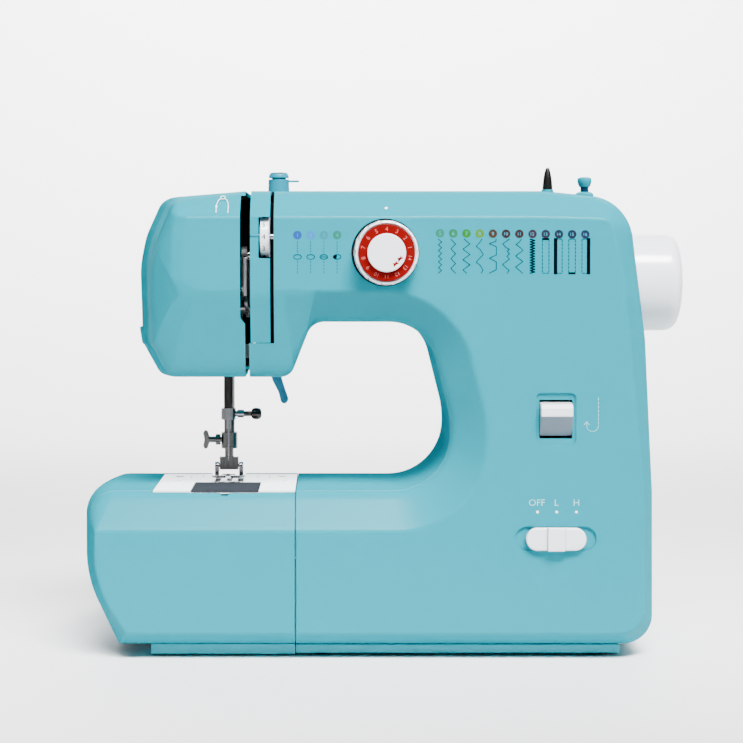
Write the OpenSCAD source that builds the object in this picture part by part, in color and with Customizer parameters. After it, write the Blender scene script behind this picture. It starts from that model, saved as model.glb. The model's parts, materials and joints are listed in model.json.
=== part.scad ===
/* [Body shell] */
// Height of the top of the arm above the table
top_h = 258; // [245:1:275]
// Distance from the flat front of the body to its middle plane
half_depth = 60; // [56:1:70]
// Depth of the sloped border round the flat front
slope_depth = 14; // [10:1:18]
// Wall thickness of the plastic shells
wall = 2.2; // [1.6:0.1:2.8]
// Right side of the body at its widest
body_right = 148.4; // [144:1:156]
// How much further left the right side stands at the top than at the bottom
side_lean = 14; // [8:1:20]
// Depth of the arm, from its top down to its underside
arm_depth = 72.5; // [66:0.5:78]
// Depth of the head, from its top down to its underside
head_depth = 103; // [98:1:108]
// Sloped border above the flat front, measured up the front
top_border = 14.7; // [10:1:18]
// Sloped border below the arm, measured up the front
under_border = 17; // [12:1:19]
// Left side of the head at its widest
head_left = -139; // [-142:0.5:-134]
// Throat wall that the fabric passes, to the right of the needle
throat_wall = 36; // [28:1:44]

/* [Bed] */
// Height of the bed and of the needle plate
bed_h = 91.9; // [86:1:98]
// Sloped border along the front of the bed, measured down the front
bed_border = 20.6; // [14:1:24]
// Underside of the shells, above the base
shell_under = 6.8; // [5:0.5:8]
// Place of the joint between the extension table and the body
seam_x = -49.8; // [-53:0.5:-47]
// Left end of the extension table at its widest
table_left = -169.5; // [-176:0.5:-166]
// Half the length of the base
base_half = 130; // [124:1:134]
// Half the depth of the base
base_half_depth = 46; // [42:1:50]

/* [Drive] */
// Depth of the upper shaft and the hand wheel below the top
shaft_depth = 50.8; // [48:0.2:54]
// Radius of the upper and lower shafts
shaft_r = 4; // [3:0.5:4.5]
// Radius of the hand wheel
wheel_r = 28.5; // [24:0.5:30]
// Right end of the hand wheel
wheel_right = 170; // [166:1:178]
// Height of the lower shaft
lower_z = 46; // [42:1:48]
// Radius of both toothed belt pulleys
timing_r = 12; // [10:0.5:14]
// Place of the toothed belt along the shafts
timing_x = 56; // [52:1:62]
// Radius of the driven pulley beside the hand wheel
drive_r = 24; // [20:1:26]
// Radius of the motor's pulley
motor_pulley_r = 6; // [5:0.5:8]
// Radius of the motor's can
motor_r = 17; // [14:1:19]
// Thickness of both belts
belt_t = 1.6; // [1.2:0.1:2]

/* [Needle and presser] */
// Place of the needle from left to right
needle_x = -89; // [-91:0.5:-87]
// Radius of the needle bar
needle_bar_r = 2.75; // [2.5:0.05:3.2]
// Underside of the needle clamp at rest
clamp_z = 127.8; // [126:0.5:130]
// Height of the needle clamp
clamp_h = 6.6; // [6:0.2:8]
// Length of needle below the clamp
needle_len = 24; // [20:1:26]
// Distance of the presser bar behind the needle bar
presser_back = 10; // [9:0.5:12]
// Radius of the presser bar
presser_r = 3.1; // [2.8:0.1:3.4]
// Gap under the presser foot at rest
foot_gap = 2.8; // [2.6:0.1:3.2]
// Length of the lever that lifts the presser foot
lifter_len = 27; // [24:1:32]

/* [Bobbin and hook] */
// Radius of the bobbin
bobbin_r = 10.2; // [9.5:0.1:10.6]
// Height of the bobbin
bobbin_h = 11.4; // [10:0.2:12]
// Radius of the rotary hook
hook_r = 16; // [15:0.25:16.2]
// Distance of the hook's axis in front of the needle
hook_front = 17; // [17:0.25:18]
// Width of the sliding bobbin cover
cover_w = 38; // [35:1:42]

/* [Controls] */
// Radius of the stitch dial
dial_r = 17.7; // [15:0.1:20]
// Depth of the stitch dial's axis below the top
dial_depth = 34.2; // [33:0.2:35]
// How far the stitch dial stands out of the front
dial_out = 13; // [9:0.5:16]
// Number of grips round the stitch dial
dial_grips = 14; // [10:1:18]
// Radius of the thread tension wheel
tension_r = 11; // [10:0.25:12]
// Depth of the tension wheel's axis below the top
tension_depth = 25.4; // [24:0.2:27]
// Width of the reverse lever
reverse_w = 17.4; // [14:0.2:20]
// Length of the speed switch's knob
slider_len = 33; // [28:1:36]
// Height of the speed switch's knob
slider_h = 12.6; // [10:0.2:14]
// Travel of the speed switch to each side
slider_travel = 5.4; // [4:0.2:7]
// Height of the speed switch's middle
slider_z = 67.3; // [60:0.5:72]
// Place of the reverse lever and the speed switch
control_x = 93; // [90:0.5:98]

/* [Top fittings] */
// Radius of the bobbin winder's spindle
winder_r = 3; // [2.6:0.1:3.3]
// Height of the spindle above the arm
winder_out = 15; // [12:0.5:18]
// Place of the bobbin winder
winder_x = 95.2; // [92:0.5:98]
// Radius of the spool pin
spool_r = 2.5; // [2:0.1:3]
// Place of the spool pin
spool_x = 30; // [22:1:40]
// Width of the thread guide post
post_w = 12.4; // [10:0.2:14]

/* [Hidden] */
$fn = 48;
// Distance that puts the middle of the part's depth at the origin
mid_y = (dial_out + 1) / 2;
gap = 0.3;            // clearance between neighbouring pieces
run = 0.05;           // radial clearance of a shaft in its bore
past = 1;             // how far a cut runs past the face it leaves
corner_steps = 6;     // flats in each rounded corner of a shell

plastic = [0.48, 0.83, 0.86];
plastic_dark = [0.33, 0.6, 0.66];
lever_blue = [0.29, 0.56, 0.66];
white = [0.93, 0.94, 0.97];
steel = [0.72, 0.73, 0.75];
dark_steel = [0.24, 0.23, 0.24];
alloy = [0.62, 0.63, 0.65];
black = [0.08, 0.08, 0.09];
red = [0.83, 0.12, 0.16];
brass = [0.78, 0.62, 0.3];
board_green = [0.1, 0.4, 0.25];

// Heights that follow the top of the arm
arm_under = top_h - arm_depth;
head_under = top_h - head_depth;
shaft_z = top_h - shaft_depth;
dial_z = top_h - dial_depth;
tension_z = top_h - tension_depth;

// Places on the front: a top edge, a crease above the throat and a crease along the bed
top_front = top_h - top_border;
crease_z = arm_under + under_border;
bed_crease = bed_h - bed_border;
foot_front = shell_under + 8;
shoulder_y = half_depth - slope_depth;
shoulder_soft = 4;
inner_front = half_depth - wall;

// Hook and bobbin
hook_y = -hook_front;
hook_shaft_r = 3;
bed_frame_z = shell_under + 2 * wall + gap + 0.4;

// Head: slots that divide the face cover, the thread strip and the front cover
slot_left = needle_x + 9.3;
strip_left = slot_left + 5.5;
strip_right = strip_left + 11.4;
slot_right = strip_right + 1.5;
head_seam = slot_left + 2.5;
cover_seam = head_seam + 2.1;
slot_foot = arm_under - 0.7;
slot_top = top_h - 2.8;
strip_foot = arm_under - 11.2;
strip_back = 20;
head_right = slot_right + 9;

function mix(a, b, k) = a + (b - a) * k;
function unit(v) = v / norm(v);
function turned(a) = [-a[1], a[0]];

// A corner [x, z, radius] of a path, as a round arc of corner_steps flats
function arc_at(p, c, q, r) =
    let (a = unit(p - c), b = unit(q - c),
         half = acos(max(-1, min(1, a * b))) / 2,
         t = max(r / tan(max(half, 1)), 0.2),
         w = sin(half))
    [for (i = [0:corner_steps]) let (s = i / corner_steps, u = 1 - s, m = 2 * s * u * w)
        (u * u * (c + a * t) + m * c + s * s * (c + b * t)) / (u * u + m + s * s)];
function flat2(v) = [v[0], v[1]];
function rounded(path) = let (n = len(path))
    [for (i = [0:n - 1])
        each arc_at(flat2(path[(i + n - 1) % n]), flat2(path[i]), flat2(path[(i + 1) % n]), path[i][2])];
// The same clockwise path, moved inwards by w
function inset(path, w) = let (n = len(path))
    [for (i = [0:n - 1])
        let (p = flat2(path[(i + n - 1) % n]), c = flat2(path[i]), q = flat2(path[(i + 1) % n]),
             d = unit(c - p), e = unit(q - c), m = -turned(d), o = -turned(e),
             v = c + (m + o) / (1 + m * o) * w,
             side = (d[0] * e[1] - d[1] * e[0]) < 0 ? -1 : 1)
        [v[0], v[1], max(path[i][2] + side * w, 0.3)]];
function at_depth(loop, y) = [for (p = loop) [p[0], y, p[1]]];

// A solid through a stack of loops that all have as many points. Each piece of an end face is a list
// of points that are all in view of its first one.
module loft(loops, pieces = []) {
    n = len(loops[0]);
    m = len(loops);
    ends = len(pieces) > 0 ? pieces : [[for (i = [0:n - 1]) i]];
    polyhedron(
        points = [for (l = loops) each l],
        faces = concat(
            ends,
            [for (j = [0:m - 2], i = [0:n - 1]) let (k = (i + 1) % n)
                each [[j * n + i, (j + 1) * n + i, (j + 1) * n + k],
                      [j * n + i, (j + 1) * n + k, j * n + k]]],
            [for (e = ends) [for (i = [0:len(e) - 1]) (m - 1) * n + e[(len(e) - i) % len(e)]]]),
        convexity = 8);
}

module at_body(c) { color(c) translate([0, mid_y, 0]) children(); }
module box_at(low, high) { translate(low) cube(high - low); }
module rod_x(x0, x1, y, z, r) { translate([x0, y, z]) rotate([0, 90, 0]) cylinder(r = r, h = x1 - x0); }
module rod_y(y0, y1, x, z, r) { translate([x, y1, z]) rotate([90, 0, 0]) cylinder(r = r, h = y1 - y0); }
module rod_z(z0, z1, x, y, r) { translate([x, y, z0]) cylinder(r = r, h = z1 - z0); }
// A flat shape drawn in Y and Z, between two places along X
module plate_x(x0, x1) { translate([x0, 0, 0]) rotate([90, 0, 90]) linear_extrude(x1 - x0) children(); }
// A flat shape drawn in X and Z, between two places along Y
module plate_y(y0, y1) { translate([0, y1, 0]) rotate([90, 0, 0]) linear_extrude(y1 - y0) children(); }

// ---- Body shells ----
// The outline of the body at k, from 0 on the flat front to 1 behind its sloped border
function body_path(k, left) =
    let (top = mix(top_front, top_h, k), low = mix(foot_front, shell_under, k),
         bed = mix(bed_crease, bed_h, k), under = mix(crease_z, arm_under, k),
         head = mix(crease_z, head_under, k), right = mix(body_right - 6.6, body_right, k),
         throat_high = arm_under - bed_h)
    [[left, top, 0.5],
     [right - mix(side_lean + 5, side_lean, k), top, mix(8, 28, k)],
     [right - mix(11.3, 4.4, k), mix(crease_z + 5, arm_under - 10, k), 40],
     [right - 0.4, bed_h, 30],
     [right, low, mix(14, 16, k)],
     [seam_x + gap, low, 0.5],
     [seam_x + gap, bed, 0.5],
     [mix(throat_wall + 19.3, throat_wall, k), bed, mix(0.5235, 0.342, k) * throat_high],
     [mix(throat_wall + 19.4, throat_wall, k), bed_h + 0.4274 * throat_high, 0.641 * throat_high],
     [throat_wall + mix(1.6, -13.5, k), under, mix(0.5342, 0.2778, k) * throat_high],
     [head_right + mix(14, 11.8, k), under + mix(0.3, 0, k), mix(1, 10, k)],
     [head_right - mix(3.7, 0.2, k), head + mix(0.5, 0, k), mix(1, 8, k)],
     [left, head, 0.5]];
// The front of the body in pieces: head, arm, upper and lower column, and bed
function corner(i) = [for (s = [0:corner_steps]) i * (corner_steps + 1) + s];
function first(i) = i * (corner_steps + 1);
function last(i) = first(i) + corner_steps;
body_pieces = [
    concat(corner(0), corner(10), corner(11), corner(12)),
    concat([last(1)], corner(9), [first(10), last(0)], [for (s = [0:corner_steps - 1]) first(1) + s]),
    concat([last(2)], corner(8), [first(9), last(1)], [for (s = [0:corner_steps - 1]) first(2) + s]),
    concat([first(4)], corner(7), [first(8), last(2)], corner(3)),
    concat(corner(4), corner(5), corner(6), [first(7)])];
body_levels = [[-half_depth, 0], [-shoulder_y, 0.95], [shoulder_soft - shoulder_y, 1], [-0.15, 1]];
function shell_loops(left) = concat(
    [for (l = body_levels) at_depth(rounded(body_path(l[1], left)), l[0])],
    [for (i = [3:-1:0]) let (l = body_levels[i])
        at_depth(rounded(inset(body_path(l[1], left), wall)), i == 3 ? l[0] : l[0] + wall)]);

module side_holes() {
    rod_x(body_right - 20, body_right + 5, 0, shaft_z, wheel_r + 0.7);
    box_at([cover_seam - past, 2 - shoulder_y, head_under + 2.6],
        [cover_seam + wall + past, shoulder_y - 2, top_h - 5]);
    // room for the clamp's screw
    box_at([cover_seam - past, -5, head_under - past], [needle_x + 20.5, 5, head_under + wall + past]);
    box_at([seam_x - past, -shoulder_y + 7, bed_frame_z - gap], [seam_x + wall + past, 30, bed_h - 4]);
}

module front_cover() at_body(plastic) difference() {
    loft(shell_loops(cover_seam), body_pieces);
    side_holes();
    box_at([cover_seam - past, -half_depth - past, strip_foot - gap], [slot_right, -strip_back, top_h + past]);
    rod_y(-half_depth - past, -inner_front + past, 0, dial_z, dial_hub_r + run);
    box_at([control_x - reverse_w / 2 - gap, -half_depth - past, reverse_low - 1],
        [control_x + reverse_w / 2 + gap, -inner_front + past, reverse_high + 0.8]);
    box_at([control_x - reverse_w / 2 - 2.2, -half_depth - past, reverse_low - 4],
        [control_x + reverse_w / 2 + 2.2, -half_depth + 0.8, reverse_high + 4.6]);
    plate_y(-half_depth - past, -half_depth + 1.2) stadium(slider_len + 2 * slider_travel + 0.8, slider_h + 0.8);
    box_at([control_x - slider_travel - 6.3, -half_depth, slider_z - 2.3],
        [control_x + slider_travel + 6.3, -inner_front + past, slider_z + 2.3]);
}
module stadium(len, high) {
    translate([control_x, slider_z]) union() {
        square([len - high, high], center = true);
        for (s = [-1, 1]) translate([s * (len - high) / 2, 0]) circle(d = high);
    }
}

module rear_cover() at_body(plastic) difference() {
    mirror([0, 1, 0]) loft(shell_loops(cover_seam), body_pieces);
    side_holes();
    // slot of the presser lifter, openings of the fittings on top, and the two sockets
    box_at([presser_x - 1 + presser_r, lifter_y - 2.6, head_under - past],
        [head_right + 16, lifter_y + 2.6, lifter_pivot_z + 4]);
    box_at([winder_x - winder_r - 1, fitting_y - winder_r - 1, top_h - wall - past],
        [winder_x + winder_r + 5, fitting_y + winder_r + 1, top_h + past]);
    rod_z(top_h - wall - 4, top_h + past, stopper_x, fitting_y, stopper_r + gap);
    rod_z(stopper_low - gap, top_h + past, stopper_x, fitting_y, stopper_flange + gap);
    rod_z(top_h - wall - past, top_h + past, spool_x, spool_y, spool_r + gap);
    rod_z(top_h - wall - past, top_h + past, post_x, fitting_y, 2 + gap);
    for (x = [power_x, pedal_x]) rod_y(inner_front - past, half_depth + past, x, jack_z, jack_r + gap);
}

// How far the left side of the head bulges at y
function head_x(y) = head_left + 27.5 * (1 - sqrt(max(0, 1 - pow(y / half_depth, 2))));
function slope_k(y) = max(0, min(1, (half_depth - abs(y)) / slope_depth));
function face_path(y, right) =
    let (k = slope_k(y), top = mix(top_front, top_h, k), low = mix(crease_z, head_under, k), x = head_x(y),
         rise = min(1, (half_depth - abs(y)) / (slope_depth * 0.57)), fade = max(0, k - 0.57) / 0.43)
    [[x + mix(2, 13, k), top - 3.5 * k, mix(1, 10, k)],
     [right, top, 0.5],
     [right, low, 0.5],
     [x + mix(12, 11.2, k), low, mix(0.5, 5, k)],
     [x + mix(5.5, 1.3, k), mix(crease_z + 1.4, head_under + 18, k), mix(0.5, 7, k)],
     [x, crease_z + mix(mix(5, 22, rise), 14.2, fade), mix(1, 60, fade)],
     [x + 3.45 * k, top - mix(11, 24.6, k), mix(1, 40, k)]];
head_depths = [-half_depth, -57, -52, -shoulder_y, -40, -28, -14, 0];
head_levels = concat(head_depths, [for (i = [6:-1:0]) -head_depths[i]]);
inner_depths = [-inner_front, -55, -50.5, wall - shoulder_y, -39, -28, -14, 0];
inner_levels = concat(inner_depths, [for (i = [6:-1:0]) -inner_depths[i]]);

module face_cover() at_body(plastic) {
    difference() {
        loft([for (y = head_levels) at_depth(rounded(face_path(y, head_seam)), y)]);
        loft([for (y = inner_levels) at_depth(rounded(inset(face_path(y, head_seam + 2 * wall), wall)), y)]);
        // slot of the take-up lever
        plate_y(-half_depth - past, 10 - shoulder_y) polygon([[slot_left, slot_top], [slot_left, slot_foot + 3.4],
            [head_seam, slot_foot], [head_seam + 5, slot_foot], [head_seam + 5, slot_top]]);
        // opening under the head for both bars, with room for the clamp's screw
        box_at([needle_x - 8, -8, head_under - past],
            [head_seam + past, presser_back + 8, head_under + wall + past]);
    }
    // thread cutter moulded on the left side
    difference() {
        plate_y(2, 10) polygon([[cutter_x, cutter_z], [cutter_x + 1.6, cutter_z - 9.5],
            [cutter_x + 7.5, cutter_z - 12], [cutter_x + 7.5, cutter_z + 2]]);
        box_at([cutter_x - past, 5.4, cutter_z - 5], [cutter_x + 3, 6.4, cutter_z + 3]);
    }
}
cutter_x = head_left - 1.4;
cutter_z = head_under + 26;

module thread_strip() at_body(plastic) difference() {
    plate_x(strip_left, strip_right) polygon([
        [-half_depth, top_front], [-shoulder_y, top_h], [-strip_back - gap, top_h],
        [-strip_back - gap, top_h - 2], [1.2 - shoulder_y, top_h - 2], [2 - half_depth, top_front - 1.2],
        [2 - half_depth, crease_z + 0.4], [strip_low_y + 2.2, strip_foot], [strip_low_y, strip_foot],
        [-half_depth, crease_z]]);
    box_at([strip_left + 4.6, -half_depth - past, tension_z - 11.8],
        [strip_right + past, 20 - half_depth, top_front]);
    box_at([strip_left - past, -half_depth - past, tension_z - 0.4],
        [strip_left + 4.6, 0.4 - half_depth, tension_z + 0.2]);
}
strip_low_y = -half_depth + slope_depth * (crease_z - strip_foot) / (crease_z - head_under);

// ---- Extension table and free arm ----
end_bulge = 5.2;
function table_end(y, k) =
    mix(table_left + 10, table_left + end_bulge, k) - end_bulge * max(0, 1 - pow(y / shoulder_y, 2));
function table_path(y, k, right) =
    let (bed = mix(bed_crease, bed_h, k), low = mix(foot_front, shell_under, k), x = table_end(y, k))
    [[x, bed, mix(1, 15, k)], [right, bed, 0.5], [right, low, 0.5], [x + 17, low, 2], [x, 42, 60]];
function table_k(y) = max(0, min(1, (half_depth - abs(y)) / slope_depth * 0.95
    + max(0, (shoulder_y - abs(y)) / shoulder_soft) * 0.05));
table_half = [-half_depth, -shoulder_y, shoulder_soft - shoulder_y, -28, -14, 0];
table_levels = concat(table_half, [for (i = [4:-1:0]) -table_half[i]]);
plate_left = needle_x - 39.8;
plate_front = -shoulder_y + 0.7;
plate_back = 38.3;

module extension_table() at_body(plastic) {
    difference() {
        loft([for (y = table_levels) at_depth(rounded(table_path(y, table_k(y), seam_x)), y)]);
        loft([for (y = table_levels)
            at_depth(rounded(inset(table_path(y, table_k(y), seam_x + 2 * wall), wall)), y * inner_front / half_depth)]);
        box_at([plate_left - gap, plate_front - gap, bed_h - 6], [seam_x + past, plate_back + gap, bed_h + past]);
        // way out for the bobbin cover, and a finger notch in front of it
        box_at([needle_x - cover_w / 2 - gap, -half_depth, bed_h - cover_t - gap],
            [needle_x + cover_w / 2 + gap, plate_front, bed_h + past]);
        rod_z(bed_h - 2.6, bed_h + past, needle_x, plate_front - 0.6, 2.4);
    }
    box_at([-base_half, -base_half_depth, 1], [seam_x, base_half_depth, shell_under + 0.2]);
}

arm_left = needle_x - 38;
arm_half = 41;
arm_top = bed_h - 1.7;
module free_arm_cover() at_body(plastic_dark) difference() {
    box_at([arm_left, -arm_half, shell_under + wall + gap], [seam_x - gap, plate_back - 1, arm_top]);
    box_at([arm_left + wall, -arm_half + wall, shell_under + 2 * wall],
        [seam_x + past, plate_back - 1 - wall, arm_top + past]);
}

cover_front = plate_front + 0.4;
cover_back = hook_y + bobbin_r + 3.6;
cover_t = 0.9;
cover_ledge = 1.6;
dog_step = 6.6;
module needle_plate() at_body(white) difference() {
    box_at([plate_left, plate_front, arm_top], [seam_x - 0.2, plate_back, bed_h]);
    // groove that the bobbin cover slides in, open to the front, and the opening under it
    box_at([needle_x - cover_w / 2, plate_front - past, bed_h - cover_t - gap],
        [needle_x + cover_w / 2, cover_back, bed_h + past]);
    box_at([needle_x - cover_w / 2 + cover_ledge, cover_front + cover_ledge, arm_top - past],
        [needle_x + cover_w / 2 - cover_ledge, cover_back - cover_ledge, bed_h]);
    box_at([needle_x - 3.6, -1.3, arm_top - past], [needle_x + 3.6, 1.3, bed_h + past]);
    for (x = [-dog_step, dog_step])
        box_at([needle_x + x - 1.6, cover_back + 2, arm_top - past], [needle_x + x + 1.6, 16.5, bed_h + past]);
    box_at([needle_x - 1.6, 2.4, arm_top - past], [needle_x + 1.6, 16.5, bed_h + past]);
    for (x = [-30, 30]) rod_z(arm_top - past, bed_h + past, needle_x + x, 26, 1.8);
}

module bobbin_cover() at_body(dark_steel) difference() {
    box_at([needle_x - cover_w / 2 + gap, cover_front, bed_h - cover_t],
        [needle_x + cover_w / 2 - gap, cover_back - gap, bed_h]);
    box_at([needle_x - 4, cover_front + 2, bed_h - 0.4], [needle_x + 4, cover_front + 4, bed_h + past]);
}

module base_plate() at_body(plastic_dark) difference() {
    box_at([seam_x + gap, -base_half_depth, 1.6], [base_half, base_half_depth, shell_under]);
    for (x = feet_x, y = [-feet_y, feet_y]) rod_z(0, 3.2, x, y, foot_r + 0.1);
}
foot_r = 7;
feet_x = [seam_x + 14, base_half - 14];
feet_y = base_half_depth - 12;
module rubber_feet() at_body(black)
    for (x = feet_x, y = [-feet_y, feet_y]) rod_z(0, 3.2, x, y, foot_r);

// ---- Frames and bearings ----
bush_r = shaft_r + 2.5;
lower_bush_x = [-118, -64, 30];
upper_bush_x = [-60, 34, 112];
bush_w = 8;
frame_y = 21;
frame_t = 4;
arm_frame_left = slot_right - 2.7;

module lug_x(x, z, floor_z) difference() {
    union() {
        rod_x(x, x + bush_w, 0, z, bush_r + 3.5);
        box_at([x, -bush_r - 3.5, floor_z], [x + bush_w, bush_r + 3.5, z]);
    }
    rod_x(x - past, x + bush_w + past, 0, z, bush_r);
}

module bed_frame() at_body(alloy) {
    difference() {
        box_at([arm_left + 4, -28, bed_frame_z], [122, 28, bed_frame_z + 4]);
        rod_z(bed_frame_z - past, bed_frame_z + 4 + past, needle_x, hook_y, hook_shaft_r + run);
        for (y = [-20, 20]) box_at([-34, y - 6, bed_frame_z - past], [20, y + 6, bed_frame_z + 4 + past]);
    }
    for (x = lower_bush_x) lug_x(x, lower_z, bed_frame_z + 3);
}

module column_frame() at_body(alloy) difference() {
    union() {
        box_at([70, frame_y, bed_frame_z + 4], [122, frame_y + frame_t, shaft_z - 18]);
        box_at([70, frame_y, bed_frame_z + 4], [122, 28, bed_frame_z + 8]);
        for (x = [70, 118]) box_at([x, frame_y, bed_frame_z + 4], [x + 4, frame_y + 13, shaft_z - 18]);
    }
    box_at([82, frame_y - past, bed_h - 12], [110, frame_y + frame_t + past, arm_under - 20]);
}

module arm_frame() at_body(alloy) {
    difference() {
        box_at([arm_frame_left, frame_y, shaft_z - 18], [122, frame_y + frame_t, shaft_z + 32]);
        rod_y(frame_y - past, frame_y + frame_t + past, 0, dial_z, dial_shaft_r + run);
        for (x = [-36, 62])
            box_at([x, frame_y - past, shaft_z - 10], [x + 34, frame_y + frame_t + past, shaft_z + 22]);
    }
    for (x = upper_bush_x) difference() {
        union() {
            rod_x(x, x + bush_w, 0, shaft_z, bush_r + 3.5);
            box_at([x, 0, shaft_z - bush_r - 3.5], [x + bush_w, frame_y + 1, shaft_z + bush_r + 3.5]);
        }
        rod_x(x - past, x + bush_w + past, 0, shaft_z, bush_r);
    }
}

// Bracket in the head that guides both bars and carries the take-up lever
bracket_z = [max(head_under + 3, clamp_z + clamp_h + 2), shaft_z + 4.8];
module head_bracket() at_body(alloy) difference() {
    union() {
        for (z = bracket_z) box_at([needle_x - 9, -7, z], [needle_x + 7, frame_y + 1, z + 8]);
        box_at([needle_x - 9, frame_y, bracket_z[0]], [needle_x + 7, frame_y + frame_t, bracket_z[1] + 8]);
        box_at([needle_x + 3, frame_y, shaft_z - 18], [arm_frame_left, frame_y + frame_t, shaft_z + 14]);
        // arm and pin of the take-up lever
        box_at([needle_x + 5, take_y - 4, bracket_z[1]], [needle_x + 7, -6, bracket_z[1] + 8]);
        box_at([needle_x + 5, take_y - 4, take_z - 4], [needle_x + 7, take_y + 4, bracket_z[1] + 8]);
        rod_x(needle_x + 6, take_x + 3, take_y, take_z, 2);
        // boss of the presser lifter's pin
        box_at([needle_x + 3, frame_y, lifter_pivot_z - 4],
            [lifter_pivot_x + 4, frame_y + frame_t, lifter_pivot_z + 4]);
    }
    rod_z(head_under, top_h, needle_x, 0, needle_bar_r + run);
    rod_z(head_under, top_h, presser_x, presser_y, presser_r + run);
    rod_y(presser_y, frame_y + frame_t + past, lifter_pivot_x, lifter_pivot_z, 2 + run);
}

module shaft_bushes() at_body(brass) {
    for (x = lower_bush_x) bush(x, lower_z);
    for (x = upper_bush_x) bush(x, shaft_z);
}
module bush(x, z) difference() {
    rod_x(x, x + bush_w, 0, z, bush_r);
    rod_x(x - past, x + bush_w + past, 0, z, shaft_r + run);
}

// ---- Drive ----
crank_x = -75;
crank_r = 15;
module upper_shaft() at_body(steel) rod_x(crank_x + 5, wheel_right - 6, 0, shaft_z, shaft_r);

wheel_left = body_right - 12;
module handwheel() at_body(white) translate([0, 0, shaft_z]) rotate([0, 90, 0]) rotate_extrude($fn = 96)
    polygon([[shaft_r, wheel_left + 4], [wheel_r - 3, wheel_left + 4],
        [wheel_r - 3, wheel_left], [wheel_r, wheel_left],
        [wheel_r, wheel_right - 5.6], [wheel_r - 1.4, wheel_right - 4], [wheel_r - 6, wheel_right - 1.6],
        [wheel_r - 14, wheel_right - 0.5], [0, wheel_right], [0, wheel_right - 6], [shaft_r, wheel_right - 6]]);

drive_x = 124;
module pulley(x, z, r, hub, w) difference() {
    union() {
        rod_x(x, x + w, 0, z, r - belt_t);
        for (e = [x - 1.2, x + w]) rod_x(e, e + 1.2, 0, z, r + 0.8);
    }
    rod_x(x - 3, x + w + 3, 0, z, hub);
}
module drive_pulley() at_body(black) pulley(drive_x, shaft_z, drive_r, shaft_r, 7);
module timing_pulleys() at_body(black) pulley(timing_x, shaft_z, timing_r, shaft_r, 8);
module lower_pulley() at_body(black) pulley(timing_x, lower_z, timing_r, shaft_r, 8);

// A belt between pulleys at two points [y, z], with their pitch radii
module belt(x, w, a, b, ra, rb) plate_x(x, x + w) difference() {
    hull() { translate(a) circle(ra); translate(b) circle(rb); }
    hull() { translate(a) circle(ra - belt_t + gap); translate(b) circle(rb - belt_t + gap); }
}
module timing_belt() at_body(black)
    belt(timing_x + 0.5, 7, [0, shaft_z], [0, lower_z], timing_r, timing_r);
module motor_belt() at_body(black)
    belt(drive_x + 0.5, 6, [0, shaft_z], [motor_y, motor_z], drive_r, motor_pulley_r);

module lower_shaft() at_body(steel) rod_x(arm_left + 5, timing_x + 12, 0, lower_z, shaft_r);

gear_r = (hook_front - gap) * 2 / 3;
pinion_r = gear_r / 2;
hook_low = bed_h - 28;
// A ring of straight teeth round a disc
module toothed(r, teeth, h, bore) difference() {
    linear_extrude(h) union() {
        circle(r - 1.4);
        for (i = [0:teeth - 1]) rotate(i * 360 / teeth) translate([r - 1.8, -0.5]) square([1.8, 1]);
    }
    translate([0, 0, -past]) cylinder(r = bore, h = h + 2 * past);
}
module hook_drive_gear() at_body(steel)
    translate([needle_x - 5, 0, lower_z]) rotate([0, 90, 0]) toothed(gear_r, 24, 10, shaft_r);
module hook_shaft() at_body(steel) {
    rod_z(bed_frame_z - gap, hook_low + 2, needle_x, hook_y, hook_shaft_r);
    translate([needle_x, hook_y, lower_z - 5]) toothed(pinion_r, 12, 10, hook_shaft_r - 0.5);
}
module rotary_hook() at_body(steel) translate([needle_x, hook_y, hook_low]) difference() {
    union() {
        cylinder(r = hook_r - 3, h = 4);
        translate([0, 0, 3]) cylinder(r = hook_r, h = 14, $fn = 72);
    }
    translate([0, 0, -past]) cylinder(r = hook_shaft_r, h = 4);
    translate([0, 0, 5]) cylinder(r = hook_r - 1.6, h = 14, $fn = 72);
    translate([hook_r - 3, 2, 9]) cube([6, 7, 9]);
}
case_low = hook_low + 5 + gap;
module bobbin_case() at_body(black) translate([needle_x, hook_y, case_low]) difference() {
    cylinder(r = hook_r - 1.6 - gap, h = 17.5, $fn = 72);
    translate([0, 0, 2]) cylinder(r = bobbin_r + 0.5, h = 20, $fn = 72);
    translate([0, 0, -past]) cylinder(r = 3, h = 5);
}
module bobbin() at_body(steel) translate([needle_x, hook_y, case_low + 2 + gap]) difference() {
    union() {
        for (z = [0, bobbin_h - 1]) translate([0, 0, z]) cylinder(r = bobbin_r, h = 1);
        cylinder(r = bobbin_r - 1.6, h = bobbin_h);
    }
    translate([0, 0, -past]) cylinder(r = 3, h = bobbin_h + 2 * past);
}

feed_z = bed_h - 1.3;
feed_low = feed_z - 7;
module feed_bar() at_body(alloy) {
    box_at([needle_x - 12, 5, feed_low - 5], [needle_x + 12, 31, feed_low - 1]);
    for (x = [-12, 8]) box_at([needle_x + x, 20, bed_frame_z + 4 + gap], [needle_x + x + 4, 31, feed_low - 1]);
}
module feed_dogs() at_body(alloy) {
    box_at([needle_x - 8, 5, feed_low], [needle_x + 8, 18, feed_low + 2.5]);
    for (x = [-dog_step, 0, dog_step]) for (i = [0:7])
        box_at([needle_x + x - 1, 5 + i * 1.2, feed_low + 1], [needle_x + x + 1, 5.7 + i * 1.2, feed_z]);
    for (x = [-dog_step, 0, dog_step])
        box_at([needle_x + x - 1, 5, feed_low + 1], [needle_x + x + 1, 14.4, feed_z - 0.9]);
}

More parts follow.
